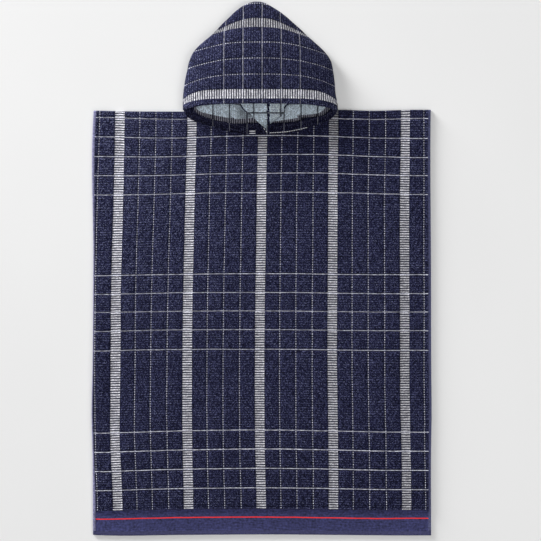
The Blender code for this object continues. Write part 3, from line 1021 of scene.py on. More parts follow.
    # Width of the flat side hems: y, left, right
    side_hem_rows: Rows = (
        (0.281, 0.0050, 0.0045), (0.216, 0.0046, 0.0046), (0.060, 0.0028, 0.0048), (-0.206, 0.0019, 0.0050),
        (-0.343, 0.0030, 0.0045), (-0.410, 0.0048, 0.0045), (-0.475, 0.0050, 0.0050),
    )

    def side(self, y: np.ndarray, side: Side) -> np.ndarray:
        """The real left or right outline."""
        true = self.half_width if side is Side.RIGHT else -self.half_width
        return true + smooth_curve(self.side_wander, side, y)

    def end(self, x: np.ndarray, end: End) -> np.ndarray:
        """The real outline of the foot or the shoulder."""
        true = self.shoulder if end is End.SHOULDER else self.foot
        return true + smooth_curve(self.end_wander, end, x)

    def side_hem(self, y: np.ndarray, side: Side) -> np.ndarray:
        """Width of the left or right hem."""
        return smooth_curve(self.side_hem_rows, side, y)

    @staticmethod
    def spread(rows: Rows, places: Series, x: np.ndarray, y: np.ndarray) -> np.ndarray:
        """Reads a table that has a column for each of some places across.

        Args:
            rows: The table, keyed by y.
            places: Where its columns stand, from left to right.
            x: Places across.
            y: Heights on the garment, in the same layout.

        Returns:
            The value at each spot, held level past the outer columns.
        """
        stations = [smooth_curve(rows, number + 1, y) for number in range(len(places))]
        total = stations[0].copy()
        for number in range(len(places) - 1):
            share = np.clip((x - places[number]) / (places[number + 1] - places[number]), 0, 1)
            total += share * (stations[number + 1] - stations[number])
        return total * MM

    def lift(self, x: np.ndarray, y: np.ndarray) -> np.ndarray:
        """How far up the cross threads bow."""
        return self.spread(self.lift_rows, self.lift_columns, x, y)

    def lean(self, across: np.ndarray, y: np.ndarray) -> np.ndarray:
        """How far the long threads stray to the right."""
        return self.spread(self.lean_rows, self.lean_columns, across, y)

    def neck(self, x: np.ndarray) -> np.ndarray:
        """Height of the neck's edge, or the shoulder line beside it."""
        share = np.clip(1 - ((x - self.neck_x) / self.neck_half_width) ** 2, 0, 1)
        return self.end(x, End.SHOULDER) - self.neck_depth * np.sqrt(share)

    def thickness(self, x: np.ndarray, y: np.ndarray) -> np.ndarray:
        """Plain thickness of a panel: hems, border or terry.

        Args:
            x: Places across.
            y: Places along.

        Returns:
            The thickness at each place.
        """
        border = self.border_top + self.lift(x, np.full(np.shape(x), self.border_top))
        base = np.where(y > border, self.terry, self.border)
        at_foot = y < self.end(x, End.FOOT) + self.foot_hem
        left = x < self.side(y, Side.LEFT) + self.side_hem(y, Side.LEFT)
        right = x > self.side(y, Side.RIGHT) - self.side_hem(y, Side.RIGHT)
        return np.where(at_foot, self.foot_thick, np.where(left | right, self.hem, base))


class Surface(IntEnum):
    """Finish numbers on a body panel."""

    TERRY = 0
    REVERSE = 1
    BORDER = 2
    LEFT_HEM = 3
    FOOT_HEM = 4
    RIGHT_HEM = 5


@dataclass
class BodyPanel:
    """The front or the back of the garment, as a closed thin cloth.

    The front is woven out of fine rows, so that its ribs and lines are real relief.
    """

    name: str
    node: str
    on_top: bool
    cut: BodyCut = field(default_factory=BodyCut)
    pane: Windowpane = PANE
    fill: float = 4.6 * MM
    plain_fill: Pair = (12 * MM, 14 * MM)
    row_fill: float = 4 * MM
    side_line: float = -288.9 * MM
    side_line_start: float = -1.4 * MM
    widest: float = 290.5 * MM
    plain_columns: Series = (-290 * MM, 0.0, 290 * MM)
    cloth_start: float = 1.0 * MM
    cloth_stop: float = 272.4 * MM
    end_clear: float = 2.0 * MM
    line_clear: float = 2.2 * MM
    border_rows: Series = (-460 * MM, -447.6 * MM, -444.8 * MM, -442 * MM)
    rim: float = 0.3 * MM
    border_clear: float = 0.2 * MM
    border_grip: float = 0.3 * MM
    hem_grip: float = 0.2 * MM
    foot_steps: Pair = (-0.6 * MM, 0.1 * MM)
    head_steps: Pair = (2.4 * MM, 1.7 * MM)
    hem_steps: Pair = (-0.15 * MM, 0.35 * MM)
    hem_columns: int = 5
    at_edge: float = 0.1 * MM
    least_step: float = 1e-6
    deepest: float = -0.2 * MM
    underside_inset: Pair = (1.0, 0.9)
    ripple: Triple = (0.10 * MM, 13 * MM, 0.4)
    roll_drop: float = 0.55
    coarse_step: int = 6
    loose_edge: Pair = (4 * MM, 30 * MM)
    # Soft swells where the cloth lies loose: x, y, half-width, half-length, height
    swells: Rows = (
        (-0.205, 0.120, 0.075, 0.150, 0.0014), (-0.070, -0.050, 0.060, 0.190, 0.0011),
        (0.110, 0.050, 0.080, 0.130, 0.0015), (0.215, -0.180, 0.060, 0.170, 0.0012),
        (-0.180, -0.260, 0.090, 0.110, 0.0013), (0.040, -0.300, 0.085, 0.090, 0.0010),
    )
    # Soft creases, as crease_height takes them
    creases: Rows = (
        (-0.262, 0.235, -0.276, 0.020, 0.016, -0.0009), (-0.236, 0.200, -0.228, -0.090, 0.020, 0.0007),
        (-0.150, 0.262, -0.176, 0.150, 0.014, 0.0008), (-0.130, 0.215, -0.122, 0.040, 0.018, -0.0006),
        (-0.088, 0.236, -0.104, 0.120, 0.012, 0.0007), (0.128, 0.240, 0.150, 0.110, 0.014, -0.0008),
        (0.060, 0.228, 0.082, 0.100, 0.016, 0.0006), (0.020, 0.225, 0.010, 0.060, 0.014, -0.0005),
        (0.236, 0.180, 0.222, -0.060, 0.020, 0.0007), (0.262, -0.060, 0.258, -0.300, 0.016, -0.0007),
        (-0.272, -0.120, -0.262, -0.360, 0.014, -0.0008), (-0.060, -0.240, -0.090, -0.400, 0.020, 0.0006),
        (0.120, -0.250, 0.100, -0.420, 0.018, -0.0006), (0.180, 0.010, 0.165, -0.200, 0.016, 0.0006),
    )
    crease_bend: Pair = (0.25, 2.4 * math.pi)
    crease_fades: tuple[Pair, Pair] = ((-0.12, 0.22), (1.12, 0.72))

    def columns(self) -> list[float]:
        """Places across the flat cloth between the side hems."""
        if not self.on_top:
            return filled_stations(self.plain_columns, self.plain_fill[0])
        side_line = [self.side_line + edge for edge in (self.side_line_start, *LINE_EDGES[1:])]
        wanted = [*self.pane.stations(range(-2, 3), inside=(0.0,)), *side_line]
        return filled_stations([place for place in wanted if abs(place) < self.widest], self.fill)

    def rows(self) -> list[float]:
        """Places along the flat cloth from the border's top to just under the shoulder."""
        start, stop = self.cut.border_top + self.cloth_start, self.cloth_stop
        if not self.on_top:
            return filled_stations([start, stop], self.plain_fill[1])
        pane, half = self.pane, self.pane.rib_pitch / 2
        first = math.ceil((start - BODY_SOLID_PHASE) / half)
        last = math.floor((stop - BODY_SOLID_PHASE) / half)
        ribs = [BODY_SOLID_PHASE + number * half for number in range(first, last + 1)]
        reach = range(-pane.solid_reach, pane.solid_reach + 1)
        lines = [BODY_SOLID_PHASE + group * pane.solid_repeat + number * pane.solid_pitch
                 for group in (-1, 0, 1) for number in reach]
        lines = [line for line in lines if start + self.end_clear < line < stop - self.end_clear]
        kept = [rib for rib in ribs if all(abs(rib - line) > self.line_clear for line in lines)]
        kept += [line + edge for line in lines for edge in LINE_EDGES]
        return filled_stations([start, *kept, stop], self.row_fill)

    def loose_height(self, x: np.ndarray, y: np.ndarray) -> np.ndarray:
        """Height of the swells and creases of the front over the layer below.

        Args:
            x: Places across.
            y: Places along.

        Returns:
            The height at each place.
        """
        height = crease_height(self.creases, x, y, self.crease_bend, *self.crease_fades)
        for middle_x, middle_y, half_x, half_y, rise in self.swells:
            reach = np.hypot((x - middle_x) / half_x, (y - middle_y) / half_y)
            height += rise * np.where(reach < 1, np.cos(np.minimum(reach, 1) * math.pi / 2) ** 2, 0)
        inward = np.minimum(self.cut.half_width - np.abs(x), y - self.cut.foot)
        return height * smooth_step(*self.loose_edge, inward)

    def outline_grid(self) -> tuple[np.ndarray, np.ndarray, np.ndarray, np.ndarray]:
        """Places of all the points of the upper face.

        Returns:
            World x and y, and the distances from the nearest side and from the nearest end.
        """
        cut, hems = self.cut, self.hem_columns
        inside = self.columns()
        border_stop = cut.border_top - self.border_clear
        border_rows = filled_stations([*self.border_rows, border_stop], self.row_fill)
        foot = [0.0, self.rim, cut.edge_round, *(cut.foot_hem + step for step in self.foot_steps)]
        head = [*self.head_steps, cut.edge_round, self.rim, 0.0]
        left = np.linspace(-cut.half_width, inside[0], hems + 1)[:-1]
        right = np.linspace(inside[-1], cut.half_width, hems + 1)[1:]
        rough_x = np.array([*left, *inside, *right])
        low, high = cut.end(rough_x, End.FOOT), cut.end(rough_x, End.SHOULDER)
        lifted = [place + cut.lift(rough_x, np.full(len(rough_x), place))
                  for place in (*border_rows, *self.rows())]
        y = np.array([*[low + step for step in foot], *lifted, *[high - step for step in head]])
        y = np.maximum.accumulate(y, axis=0)
        x = np.empty(y.shape)
        for column, across in enumerate(inside, start=hems):
            x[:, column] = across + cut.lean(np.full(len(y), across), y[:, column])
        for side, sign in ((Side.LEFT, 1), (Side.RIGHT, -1)):
            edge, hem = cut.side(y, side), cut.side_hem(y, side)
            steps = (0.0, self.rim, cut.edge_round, *(hem + step for step in self.hem_steps))
            for number, step in enumerate(steps):
                column = number if side is Side.LEFT else -1 - number
                x[:, column] = (edge + sign * step)[:, column]
        x = np.maximum.accumulate(x + np.arange(x.shape[1]) * self.least_step, axis=1)
        neck = cut.neck(x)
        squeeze = (neck - cut.squeeze_from) / (cut.end(x, End.SHOULDER) - cut.squeeze_from)
        y = np.where(y > cut.squeeze_from, cut.squeeze_from + (y - cut.squeeze_from) * squeeze, y)
        from_side = np.minimum(x - cut.side(y, Side.LEFT), cut.side(y, Side.RIGHT) - x)
        from_end = np.minimum(y - cut.end(x, End.FOOT), neck - y)
        corner = (from_side < self.at_edge) & (from_end < self.at_edge)
        x, y = (place - np.where(corner, np.sign(place) * cut.corner_cut, 0) for place in (x, y))
        return x, y, np.maximum(from_side, 0), np.maximum(from_end, 0)

    def levels(self, x: np.ndarray, y: np.ndarray) -> tuple[np.ndarray, np.ndarray]:
        """Heights of the panel.

        Args:
            x: Places across.
            y: Places along.

        Returns:
            The underside and the plain upper face.
        """
        thick = self.cut.thickness(x, y)
        if not self.on_top:
            return np.zeros(x.shape), thick
        under = thick + self.cut.gap + np.maximum(self.loose_height(x, y), self.deepest)
        return under, under + thick

    def build(self, materials: Sequence[bpy.types.Material]) -> bpy.types.Object:
        """Builds the panel.

        Args:
            materials: In the order of Surface.

        Returns:
            The registered piece.
        """
        cut = self.cut
        x, y, from_side, from_end = self.outline_grid()
        height, width = x.shape
        under, upper = self.levels(x, y)
        across, along = x - cut.lean(x, y), y - cut.lift(x, y)
        in_border = along < cut.border_top + self.border_grip
        foot_line = cut.end(x, End.FOOT) + cut.foot_hem
        hem_width = np.where(x < 0, cut.side_hem(y, Side.LEFT), cut.side_hem(y, Side.RIGHT))
        in_hem = (from_side < hem_width + self.hem_grip) | (y < foot_line)
        if self.on_top:
            relief = self.pane.relief(across, along - BODY_SOLID_PHASE)
            relief += self.ripple[0] * soft_ripple(x, y, *self.ripple[1:])
            upper = upper + np.where(in_border | in_hem, 0.0, relief)
        plain, middle = upper, (under + upper) / 2
        upper = middle + (upper - middle) * arc(np.minimum(from_side, from_end) / cut.edge_round)
        if self.on_top:
            wrap = np.clip(1 - (cut.end(x, End.SHOULDER) - y) / cut.terry, 0, 1)
            upper = upper - cut.terry * self.roll_drop * (1 - arc(1 - wrap))
            under = np.where(wrap > 0, cut.gap, under)
        draft = MeshDraft()
        top = draft.add_points(np.stack([x, y, upper], axis=-1))
        turned = (from_end < cut.terry) & (y > cut.squeeze_from)
        places = np.stack([across, along + np.where(turned, plain - upper, 0)], axis=-1)
        faces = (Surface.TERRY, Surface.REVERSE) if self.on_top else (Surface.REVERSE, Surface.TERRY)
        hem_quads = self.hem_columns - 2

        def finish(row: int, column: int) -> Surface:
            """Finish of one quad of the upper face."""
            spot = (row + (row < height / 2), column + (column < width / 2))
            if row < len(self.foot_steps) + 1:
                return Surface.FOOT_HEM
            if column < hem_quads:
                return Surface.LEFT_HEM
            if column >= width - 1 - hem_quads:
                return Surface.RIGHT_HEM
            return Surface.BORDER if in_border[spot] and in_border[row, column] else faces[0]

        draft.add_grid(top, places, finish)
        step, border_line = self.coarse_step, (11, 12, 13)
        kept_rows = sorted({*range(0, height, step), *range(5), *border_line, *range(height - 6, height)})
        kept_columns = sorted({*range(0, width, step), *range(5), *range(width - 5, width)})
        pick = np.ix_(kept_rows, kept_columns)
        inset_x, inset_y = (
            np.where(away < cut.edge_round, np.sign(place) * (cut.edge_round - away) * share, 0)
            for away, place, share in zip((from_side, from_end), (x, y), self.underside_inset))
        low = draft.add_points(np.stack([x - inset_x, y - inset_y, under], axis=-1)[pick])
        draft.add_grid(low, places[pick], lambda row, column: faces[1], upward=False)
        self.close_rim(draft, top, low, places, kept_rows, kept_columns)
        return register(draft.build(self.name, materials), [self.node])

    def close_rim(self, draft: MeshDraft, top: np.ndarray, low: np.ndarray, places: np.ndarray,
                  kept_rows: list[int], kept_columns: list[int]) -> None:
        """Joins the fine upper edge to the coarser lower one.

        Args:
            draft: The mesh in the making.
            top: Point numbers of the upper face.
            low: Point numbers of the lower face.
            places: Flat places of the upper points.
            kept_rows: Rows of the upper face that the lower one has.
            kept_columns: Columns that the lower one has.
        """
        wall = self.cut.terry
        edges = ((np.s_[0], kept_columns, False, (0, -wall), Surface.FOOT_HEM),
                 (np.s_[-1], kept_columns, True, (0, wall), Surface.TERRY),
                 (np.s_[:, 0], kept_rows, True, (-wall, 0), Surface.LEFT_HEM),
                 (np.s_[:, -1], kept_rows, False, (wall, 0), Surface.RIGHT_HEM))
        for edge, kept, turned, down, finish in edges:
            upper, lower, flat = top[edge], low[edge], places[edge]
            for number, (start, stop) in enumerate(zip(kept, kept[1:])):
                above = list(range(stop, start - 1, -1))
                spots = [flat[start] + down, flat[stop] + down, *flat[above]]
                draft.add_face([lower[number], lower[number + 1], *upper[above]], spots, finish, turned)


# -------------------- Hood --------------------


@dataclass(frozen=True)
class HoodCut:
    """Sizes of the hood as it lies: crown, brow, cheeks and nape."""

    terry: float = 3.0 * MM
    gap: float = 0.3 * MM
    side_fold: float = 6.5 * MM
    brow_y: float = 291.5 * MM
    length: float = 182.0 * MM
    hem: float = 14.0 * MM
    rim_extra: float = 2.4 * MM
    rim_fade: Pair = (14.4 * MM, 13.6 * MM)
    brow_radius: float = 2.8 * MM
    side_inset: float = 3.2 * MM
    inner_top: float = 460.0 * MM
    middle_x: float = 1.0 * MM
    under_level: float = 0.1 * MM
    under_arch: float = 0.3
    panel_top: float = 6.3 * MM
    cheek_top: float = 9.6 * MM
    cheek_drop: float = 2.2 * MM
    cheek_sag: float = 0.5 * MM
    cheek_hem_fade: Pair = (0.9 * MM, -0.6 * MM)
    lip_start: float = 1.0 * MM
    fold_round: float = 2.6 * MM
    # Along each cheek's fold the navy underside leans out past the upper face between the rows of y given
    # for that side, a dark strip of painted shade; elsewhere it tucks in
    fold_shade_lean: float = 2.6 * MM
    fold_tuck: float = 0.6 * MM
    left_shade_lean: Pair = (266 * MM, 274 * MM)
    right_shade_lean: Pair = (280 * MM, 286 * MM)
    under_tuck: float = 1.2 * MM
    flap_swell: float = 2.0 * MM
    lip_overlap: float = 1.4 * MM
    lip_slope: float = 0.9
    lip_beside: float = 0.97
    cheek_fall: Pair = (0.1, 0.9)
    least_square: float = 0.35
    over_panel: float = 1.2 * MM
    over_shoulder: float = 2.0 * MM
    beside_neck: float = 1.0 * MM
    least_cloth: float = 0.4 * MM
    fold_lift: float = 0.5 * MM
    seam_x: float = 10.2 * MM
    seam_y: float = 258.0 * MM
    seam_lean: float = -0.012
    seam_width: float = 27.0 * MM
    seam_height: float = 3.2 * MM
    seam_binding: float = 5.6 * MM
    seam_rise: Pair = (-0.4 * MM, 1.2 * MM)
    seam_fall: float = 4.0 * MM
    seam_near: float = -1.0 * MM
    seam_top: float = 8.0 * MM
    seam_low_end: Pair = (243 * MM, 250 * MM)
    seam_high_end: Pair = (445 * MM, 435 * MM)
    binding_from: float = 246.0 * MM
    # Outline from the brow to the peak: y, left, right, height of the crown
    sections: Rows = (
        (0.2850, -0.1396, 0.1353, 0.0382), (0.2950, -0.1396, 0.1345, 0.0382),
        (0.3065, -0.1391, 0.1318, 0.0380), (0.3278, -0.1366, 0.1300, 0.0370),
        (0.3491, -0.1323, 0.1272, 0.0356), (0.3704, -0.1273, 0.1219, 0.0340),
        (0.3810, -0.1226, 0.1149, 0.0330), (0.3917, -0.1146, 0.1048, 0.0316),
        (0.4023, -0.1030, 0.0931, 0.0298), (0.4130, -0.0901, 0.0807, 0.0276),
        (0.4236, -0.0791, 0.0700, 0.0250), (0.4343, -0.0693, 0.0580, 0.0222),
        (0.4449, -0.0581, 0.0461, 0.0194), (0.4556, -0.0471, 0.0328, 0.0166),
        (0.4627, -0.0383, 0.0221, 0.0142), (0.4680, -0.0294, 0.0123, 0.0120),
        (0.4720, -0.0200, 0.0040, 0.0100), (0.4735, -0.0140, -0.0020, 0.0070),
    )
    # How far the threads droop towards the side folds: distance from the face edge, left, right, power
    droop_rows: Rows = (
        (0.0000, 0.0105, 0.0110, 4.2), (0.0092, 0.0100, 0.0115, 6.6), (0.0256, 0.0170, 0.0190, 6.8),
        (0.0400, 0.0190, 0.0205, 4.2), (0.0524, 0.0195, 0.0210, 3.4), (0.0809, 0.0180, 0.0210, 2.6),
        (0.1094, 0.0155, 0.0205, 3.0), (0.1364, 0.0120, 0.0170, 2.8), (0.1524, 0.0200, 0.0265, 2.8),
        (0.1660, 0.0150, 0.0180, 2.8), (0.1820, 0.0000, 0.0000, 2.8),
    )
    # Where the cheeks' threads stand: x, place along the face edge
    thread_rows: Rows = (
        (-0.1400, 0.144), (-0.1150, 0.178), (-0.0862, 0.212), (-0.0569, 0.246), (-0.0258, 0.280),
        (0.0097, 0.314), (0.0398, 0.280), (0.0700, 0.246), (0.0996, 0.212), (0.1270, 0.178),
        (0.1450, 0.150),
    )
    # Cheeks from the centre front round: lip x, lip y, fold x, fold y, height of the lip, width of its hem,
    # distance of the ribbed band's far side
    left_cheek: Rows = (
        (0.0100, 0.2384, 0.0080, 0.2490, 0.0110, 0.0145, 0.0240),
        (-0.0063, 0.2394, 0.0040, 0.2510, 0.0116, 0.0180, 0.0370),
        (-0.0233, 0.2410, -0.0050, 0.2590, 0.0124, 0.0215, 0.0385),
        (-0.0405, 0.2430, -0.0125, 0.2662, 0.0130, 0.0205, 0.0330),
        (-0.0569, 0.2454, -0.0210, 0.2735, 0.0134, 0.0170, 0.0282),
        (-0.0887, 0.2525, -0.0325, 0.2815, 0.0138, 0.0125, 0.0222),
        (-0.1163, 0.2610, -0.0410, 0.2935, 0.0140, 0.0130, 0.0212),
        (-0.1305, 0.2686, -0.0560, 0.3047, 0.0141, 0.0160, 0.0215),
        (-0.1376, 0.2790, -0.0755, 0.3145, 0.0140, 0.0195, 0.0230),
        (-0.1372, 0.2922, -0.0871, 0.3225, 0.0120, 0.0205, 0.0254),
        (-0.1306, 0.3100, -0.0951, 0.3296, 0.0100, 0.0180, 0.0254),
    )
    right_cheek: Rows = (
        (0.0085, 0.2386, 0.0100, 0.2530, 0.0110, 0.0150, 0.0175),
        (0.0274, 0.2400, 0.0165, 0.2580, 0.0116, 0.0205, 0.0230),
        (0.0420, 0.2433, 0.0225, 0.2618, 0.0124, 0.0210, 0.0245),
        (0.0610, 0.2470, 0.0310, 0.2680, 0.0130, 0.0200, 0.0250),
        (0.0794, 0.2509, 0.0385, 0.2755, 0.0134, 0.0180, 0.0246),
        (0.1038, 0.2568, 0.0425, 0.2860, 0.0138, 0.0168, 0.0240),
        (0.1188, 0.2628, 0.0520, 0.2950, 0.0140, 0.0145, 0.0222),
        (0.1286, 0.2710, 0.0662, 0.3030, 0.0141, 0.0130, 0.0210),
        (0.1344, 0.2807, 0.0789, 0.3110, 0.0140, 0.0132, 0.0220),
        (0.1344, 0.2932, 0.0896, 0.3190, 0.0120, 0.0140, 0.0254),
        (0.1277, 0.3100, 0.0984, 0.3260, 0.0100, 0.0140, 0.0254),
    )

    def from_seam(self, rows: np.ndarray) -> np.ndarray:
        """How far points lie to the right of the centre-back seam."""
        return rows[..., 0] - self.seam_x - self.seam_lean * (rows[..., 1] - self.seam_y)


class HoodSurface(IntEnum):
    """Finish numbers on the hood."""

    OUTER = 0
    REVERSE = 1
    ALLOWANCE = 2
    LIP = 3


@dataclass
class Hood:
    """The hood: one cloth folded at the brow's middle, crown up, with its cheeks folded in at the neck."""

    cut: HoodCut = field(default_factory=HoodCut)
    body: BodyCut = field(default_factory=BodyCut)
    pane: Windowpane = PANE
    crown_columns: int = 272
    nape_columns: int = 220
    nape_rows: int = 14
    row_fill: Pair = (3.6 * MM, 6 * MM)
    brow_rows: Series = (0.0, 0.25 * MM, 0.8 * MM, 1.6 * MM, 2.8 * MM)
    relief_start: Pair = (1 * MM, 5 * MM)
    relief_stop: float = 12 * MM
    peak_clear: float = 1 * MM
    least_depth: float = 1 * MM
    weld: float = 0.02 * MM
    hem_groove: tuple[Pair, Pair] = ((12.6 * MM, 13.8 * MM), (16 * MM, 14.2 * MM))
    hem_groove_depth: float = 0.5 * MM
    ripple: Triple = (0.12 * MM, 12 * MM, 1.3)
    cheek_ripple: Triple = (0.25 * MM, 21 * MM, 2.2)
    cheek_relief: float = 0.8
    crowding: float = 1.2
    past_band: Pair = (1.0, 0.8)
    relief_at_fold: float = 2 * MM
    # Rows of a cheek: shares of its hem, then the clear space before the band and the steps past it
    hem_shares: Series = (0, 0.02, 0.06, 0.12, 0.20, 0.30, 0.42, 0.56, 0.70, 0.84, 0.93, 0.999)
    band_clear: float = 0.6 * MM
    band_after: float = 0.9 * MM
    cheek_steps: Triple = (3.4 * MM, 52 * MM, 2.6 * MM)
    lip_relief: float = 0.3
    lip_rib: float = 0.05 * MM
    # Where the pleats of the cheeks swell under the crown: x, y, half-width, half-length
    flap: tuple[float, float, float, float] = (-8 * MM, 282 * MM, 30 * MM, 34 * MM)
    flap_fade: Pair = (1.0, 0.2)
    nape_side: float = 0.999
    nape_rise: float = 1.8 * MM
    nape_clear: float = 0.6 * MM
    nape_reach: float = 260.4 * MM
    nape_start: float = 522.3 * MM
    # Soft creases on the crown, as crease_height takes them
    creases: Rows = (
        (-0.082, 0.418, -0.030, 0.446, 0.007, -0.0016), (0.074, 0.416, 0.030, 0.448, 0.007, -0.0018),
        (-0.120, 0.372, -0.070, 0.404, 0.009, -0.0013), (0.112, 0.374, 0.072, 0.402, 0.009, -0.0012),
        (-0.125, 0.318, -0.060, 0.336, 0.012, 0.0010), (0.121, 0.330, 0.070, 0.352, 0.012, -0.0010),
        (-0.020, 0.310, 0.012, 0.396, 0.016, 0.0012), (0.052, 0.300, 0.040, 0.372, 0.014, -0.0010),
        (-0.074, 0.350, -0.050, 0.415, 0.013, 0.0009),
    )
    crease_bend: Pair = (0.3, 3.0)
    crease_fades: tuple[Pair, Pair] = ((-0.2, 0.25), (1.25, 0.7))

    def outer_rows(self) -> list[float]:
        """Distances from the face edge of the crown's rows."""
        edges = [*self.brow_rows, self.cut.hem, *self.pane.stations((0, 1), HOOD_BAND_PHASE)]
        edges = [edge for edge in edges if edge < self.cut.length - self.peak_clear]
        return filled_stations([*edges, self.cut.length], self.row_fill[0])

    def inner_rows(self) -> list[float]:
        """Distances from the face edge of the lining side's rows."""
        stop = self.cut.inner_top - self.cut.brow_y
        return filled_stations([*self.brow_rows, *self.cut.rim_fade, stop], self.row_fill[1])

    def ring(self, distance: float, share: np.ndarray, lower: bool, inside: bool) -> np.ndarray:
        """Points of one row of the hood.

        Args:
            distance: The row's distance from the face edge.
            share: Places across, from -1 at the left fold to 1 at the right.
            lower: Whether this is the half that lies on the floor.
            inside: Whether this is the lining side.

        Returns:
            Points, one for each place.
        """
        cut = self.cut
        to_left, to_right, power = (smooth_curve(cut.droop_rows, number, np.array([distance]))[0]
                                    for number in (1, 2, 3))
        droop = np.where(share < 0, to_left, to_right) * np.abs(share) ** power
        y = cut.brow_y + distance - droop
        left, right, height = (smooth_curve(cut.sections, number, y) for number in (1, 2, 3))
        middle, half = (left + right) / 2, (right - left) / 2
        fold = np.minimum(cut.side_fold, height / 2)
        arch = arc(1 - np.abs(share))
        roof, low = height, cut.under_level
        if inside:
            fold = np.minimum(fold - cut.terry / 2 + cut.gap, height - cut.terry)
            half = half - cut.side_inset
            roof = height - cut.terry - cut.rim_extra * smooth_step(*cut.rim_fade, np.array([distance]))
            low = cut.terry
        z = fold - (fold - low) * arch ** cut.under_arch if lower else fold + (roof - fold) * arch
        return np.stack([middle + half * share, y, z], axis=-1)

    def shell(self, distances: list[float], lower: bool, inside: bool) -> np.ndarray:
        """The points of several rows.

        Args:
            distances: The rows' distances from the face edge.
            lower: Whether this is the half that lies on the floor.
            inside: Whether this is the lining side.

        Returns:
            Points, rows by columns.
        """
        columns = self.nape_columns if lower else self.crown_columns
        share = np.cos(np.linspace(math.pi, 0, columns + 1))
        return np.array([self.ring(distance, share, lower, inside) for distance in distances])

    def crown_places(self, distances: list[float], rows: np.ndarray) -> np.ndarray:
        """Flat places of the crown's points.

        Args:
            distances: The rows' distances from the face edge.
            rows: Their points.

        Returns:
            Each point's distance from the face edge and its run along the row from the middle line.
        """
        places = np.empty((*rows.shape[:2], 2))
        for number, (distance, row) in enumerate(zip(distances, rows)):
            run = run_lengths(row)
            places[number, :, 0] = distance
            places[number, :, 1] = run - np.interp(self.cut.middle_x, row[:, 0], run)
        return places

    def crown(self, draft: MeshDraft) -> None:
        """Adds the crown, its brow and the nape, as one closed shell.

        Args:
            draft: The mesh in the making.
        """
        cut = self.cut
        outer_rows, inner_rows = self.outer_rows(), self.inner_rows()
        outer, inner = self.shell(outer_rows, False, False), self.shell(inner_rows, False, True)
        outer_places = self.crown_places(outer_rows, outer)
        inner_places = self.crown_places(inner_rows, inner)
        outer = self.add_relief(outer, outer_places[..., 0], outer_places[..., 1])
        self.roll_brow(outer, inner, outer_rows, inner_rows)
        under, floor = self.shell(outer_rows, True, False), self.shell(inner_rows, True, True)
        for upper, lower in ((outer, under), (inner, floor)):
            lower[:, [0, -1]] = upper[:, [0, -1]]
        nape_under, nape_floor = self.nape(under[0], cut.under_level), self.nape(floor[0], cut.terry)
        nape_under[0, 1:-1], nape_floor[0, 1:-1] = under[0, 1:-1], floor[0, 1:-1]
        for side in (0, -1):
            nape_under[:, side] = nape_floor[:, side] = (nape_under[:, side] + nape_floor[:, side]) / 2
            nape_under[0, side] = nape_floor[0, side] = outer[0, side]
        nape_under[-1] = nape_floor[-1] = (nape_under[-1] + nape_floor[-1]) / 2
        floor[1:, :, 2] += self.seam_ridge(floor[1:])
        nape_floor[:-1, :, 2] += self.seam_ridge(nape_floor[:-1])
        floor[0, 1:-1] = nape_floor[0, 1:-1]
        self.add_rows(draft, outer, outer_places, HoodSurface.OUTER, True)
        self.add_rows(draft, inner, inner_places, HoodSurface.REVERSE, False)
        for pair in ((under, floor), (nape_under[::-1], nape_floor[::-1])):
            for rows, finish, upward in zip(pair, (HoodSurface.OUTER, HoodSurface.REVERSE), (False, True)):
                self.add_rows(draft, rows, self.nape_places(rows), finish, upward)
        self.add_cap(draft, outer[-1], under[-1], HoodSurface.OUTER, True)
        self.add_cap(draft, inner[-1], floor[-1], HoodSurface.REVERSE, False)

    def add_relief(self, rows: np.ndarray, distance: np.ndarray, along: np.ndarray) -> np.ndarray:
        """Moves the crown's points out by its creases and woven relief.

        Args:
            rows: Points, rows by columns.
            distance: Each point's distance from the face edge.
            along: Each point's place along the face edge.

        Returns:
            The moved points.
        """
        x, y = rows[..., 0], rows[..., 1]
        normal = np.cross(np.gradient(rows, axis=1), np.gradient(rows, axis=0))
        normal /= np.maximum(np.linalg.norm(normal, axis=-1, keepdims=True), TINY)
        height = self.pane.relief(distance - HOOD_BAND_PHASE, along)
        height *= smooth_step(*self.relief_start, distance)
        height += crease_height(self.creases, x, y, self.crease_bend, *self.crease_fades)
        height += self.ripple[0] * soft_ripple(x, y, *self.ripple[1:])
        before, after = (smooth_step(*side, distance) for side in self.hem_groove)
        height -= self.hem_groove_depth * before * after
        ends = smooth_step(self.cut.length, self.cut.length - self.relief_stop, distance)
        edge = np.ones(rows.shape[1])
        edge[[0, -1]] = 0
        edge[[1, 2, -2, -3]] = 0.5
        return rows + normal * (height * ends * edge[None, :])[..., None]

    def roll_brow(self, outer: np.ndarray, inner: np.ndarray, outer_rows: list[float],
                  inner_rows: list[float]) -> None:
        """Draws the first rows of both sides together into the brow's round edge.

        Args:
            outer: Points of the outer side.
            inner: Points of the lining side.
            outer_rows: Distances from the face edge of the outer side's rows.
            inner_rows: The same for the lining side.
        """
        middle = (outer[0] + inner[0]) / 2
        for rows, distances in ((outer, outer_rows), (inner, inner_rows)):
            for row, distance in zip(rows, distances):
                if distance < self.cut.brow_radius:
                    middle[:, 1] = row[:, 1]
                    row[:] = middle + (row - middle) * arc(distance / self.cut.brow_radius)

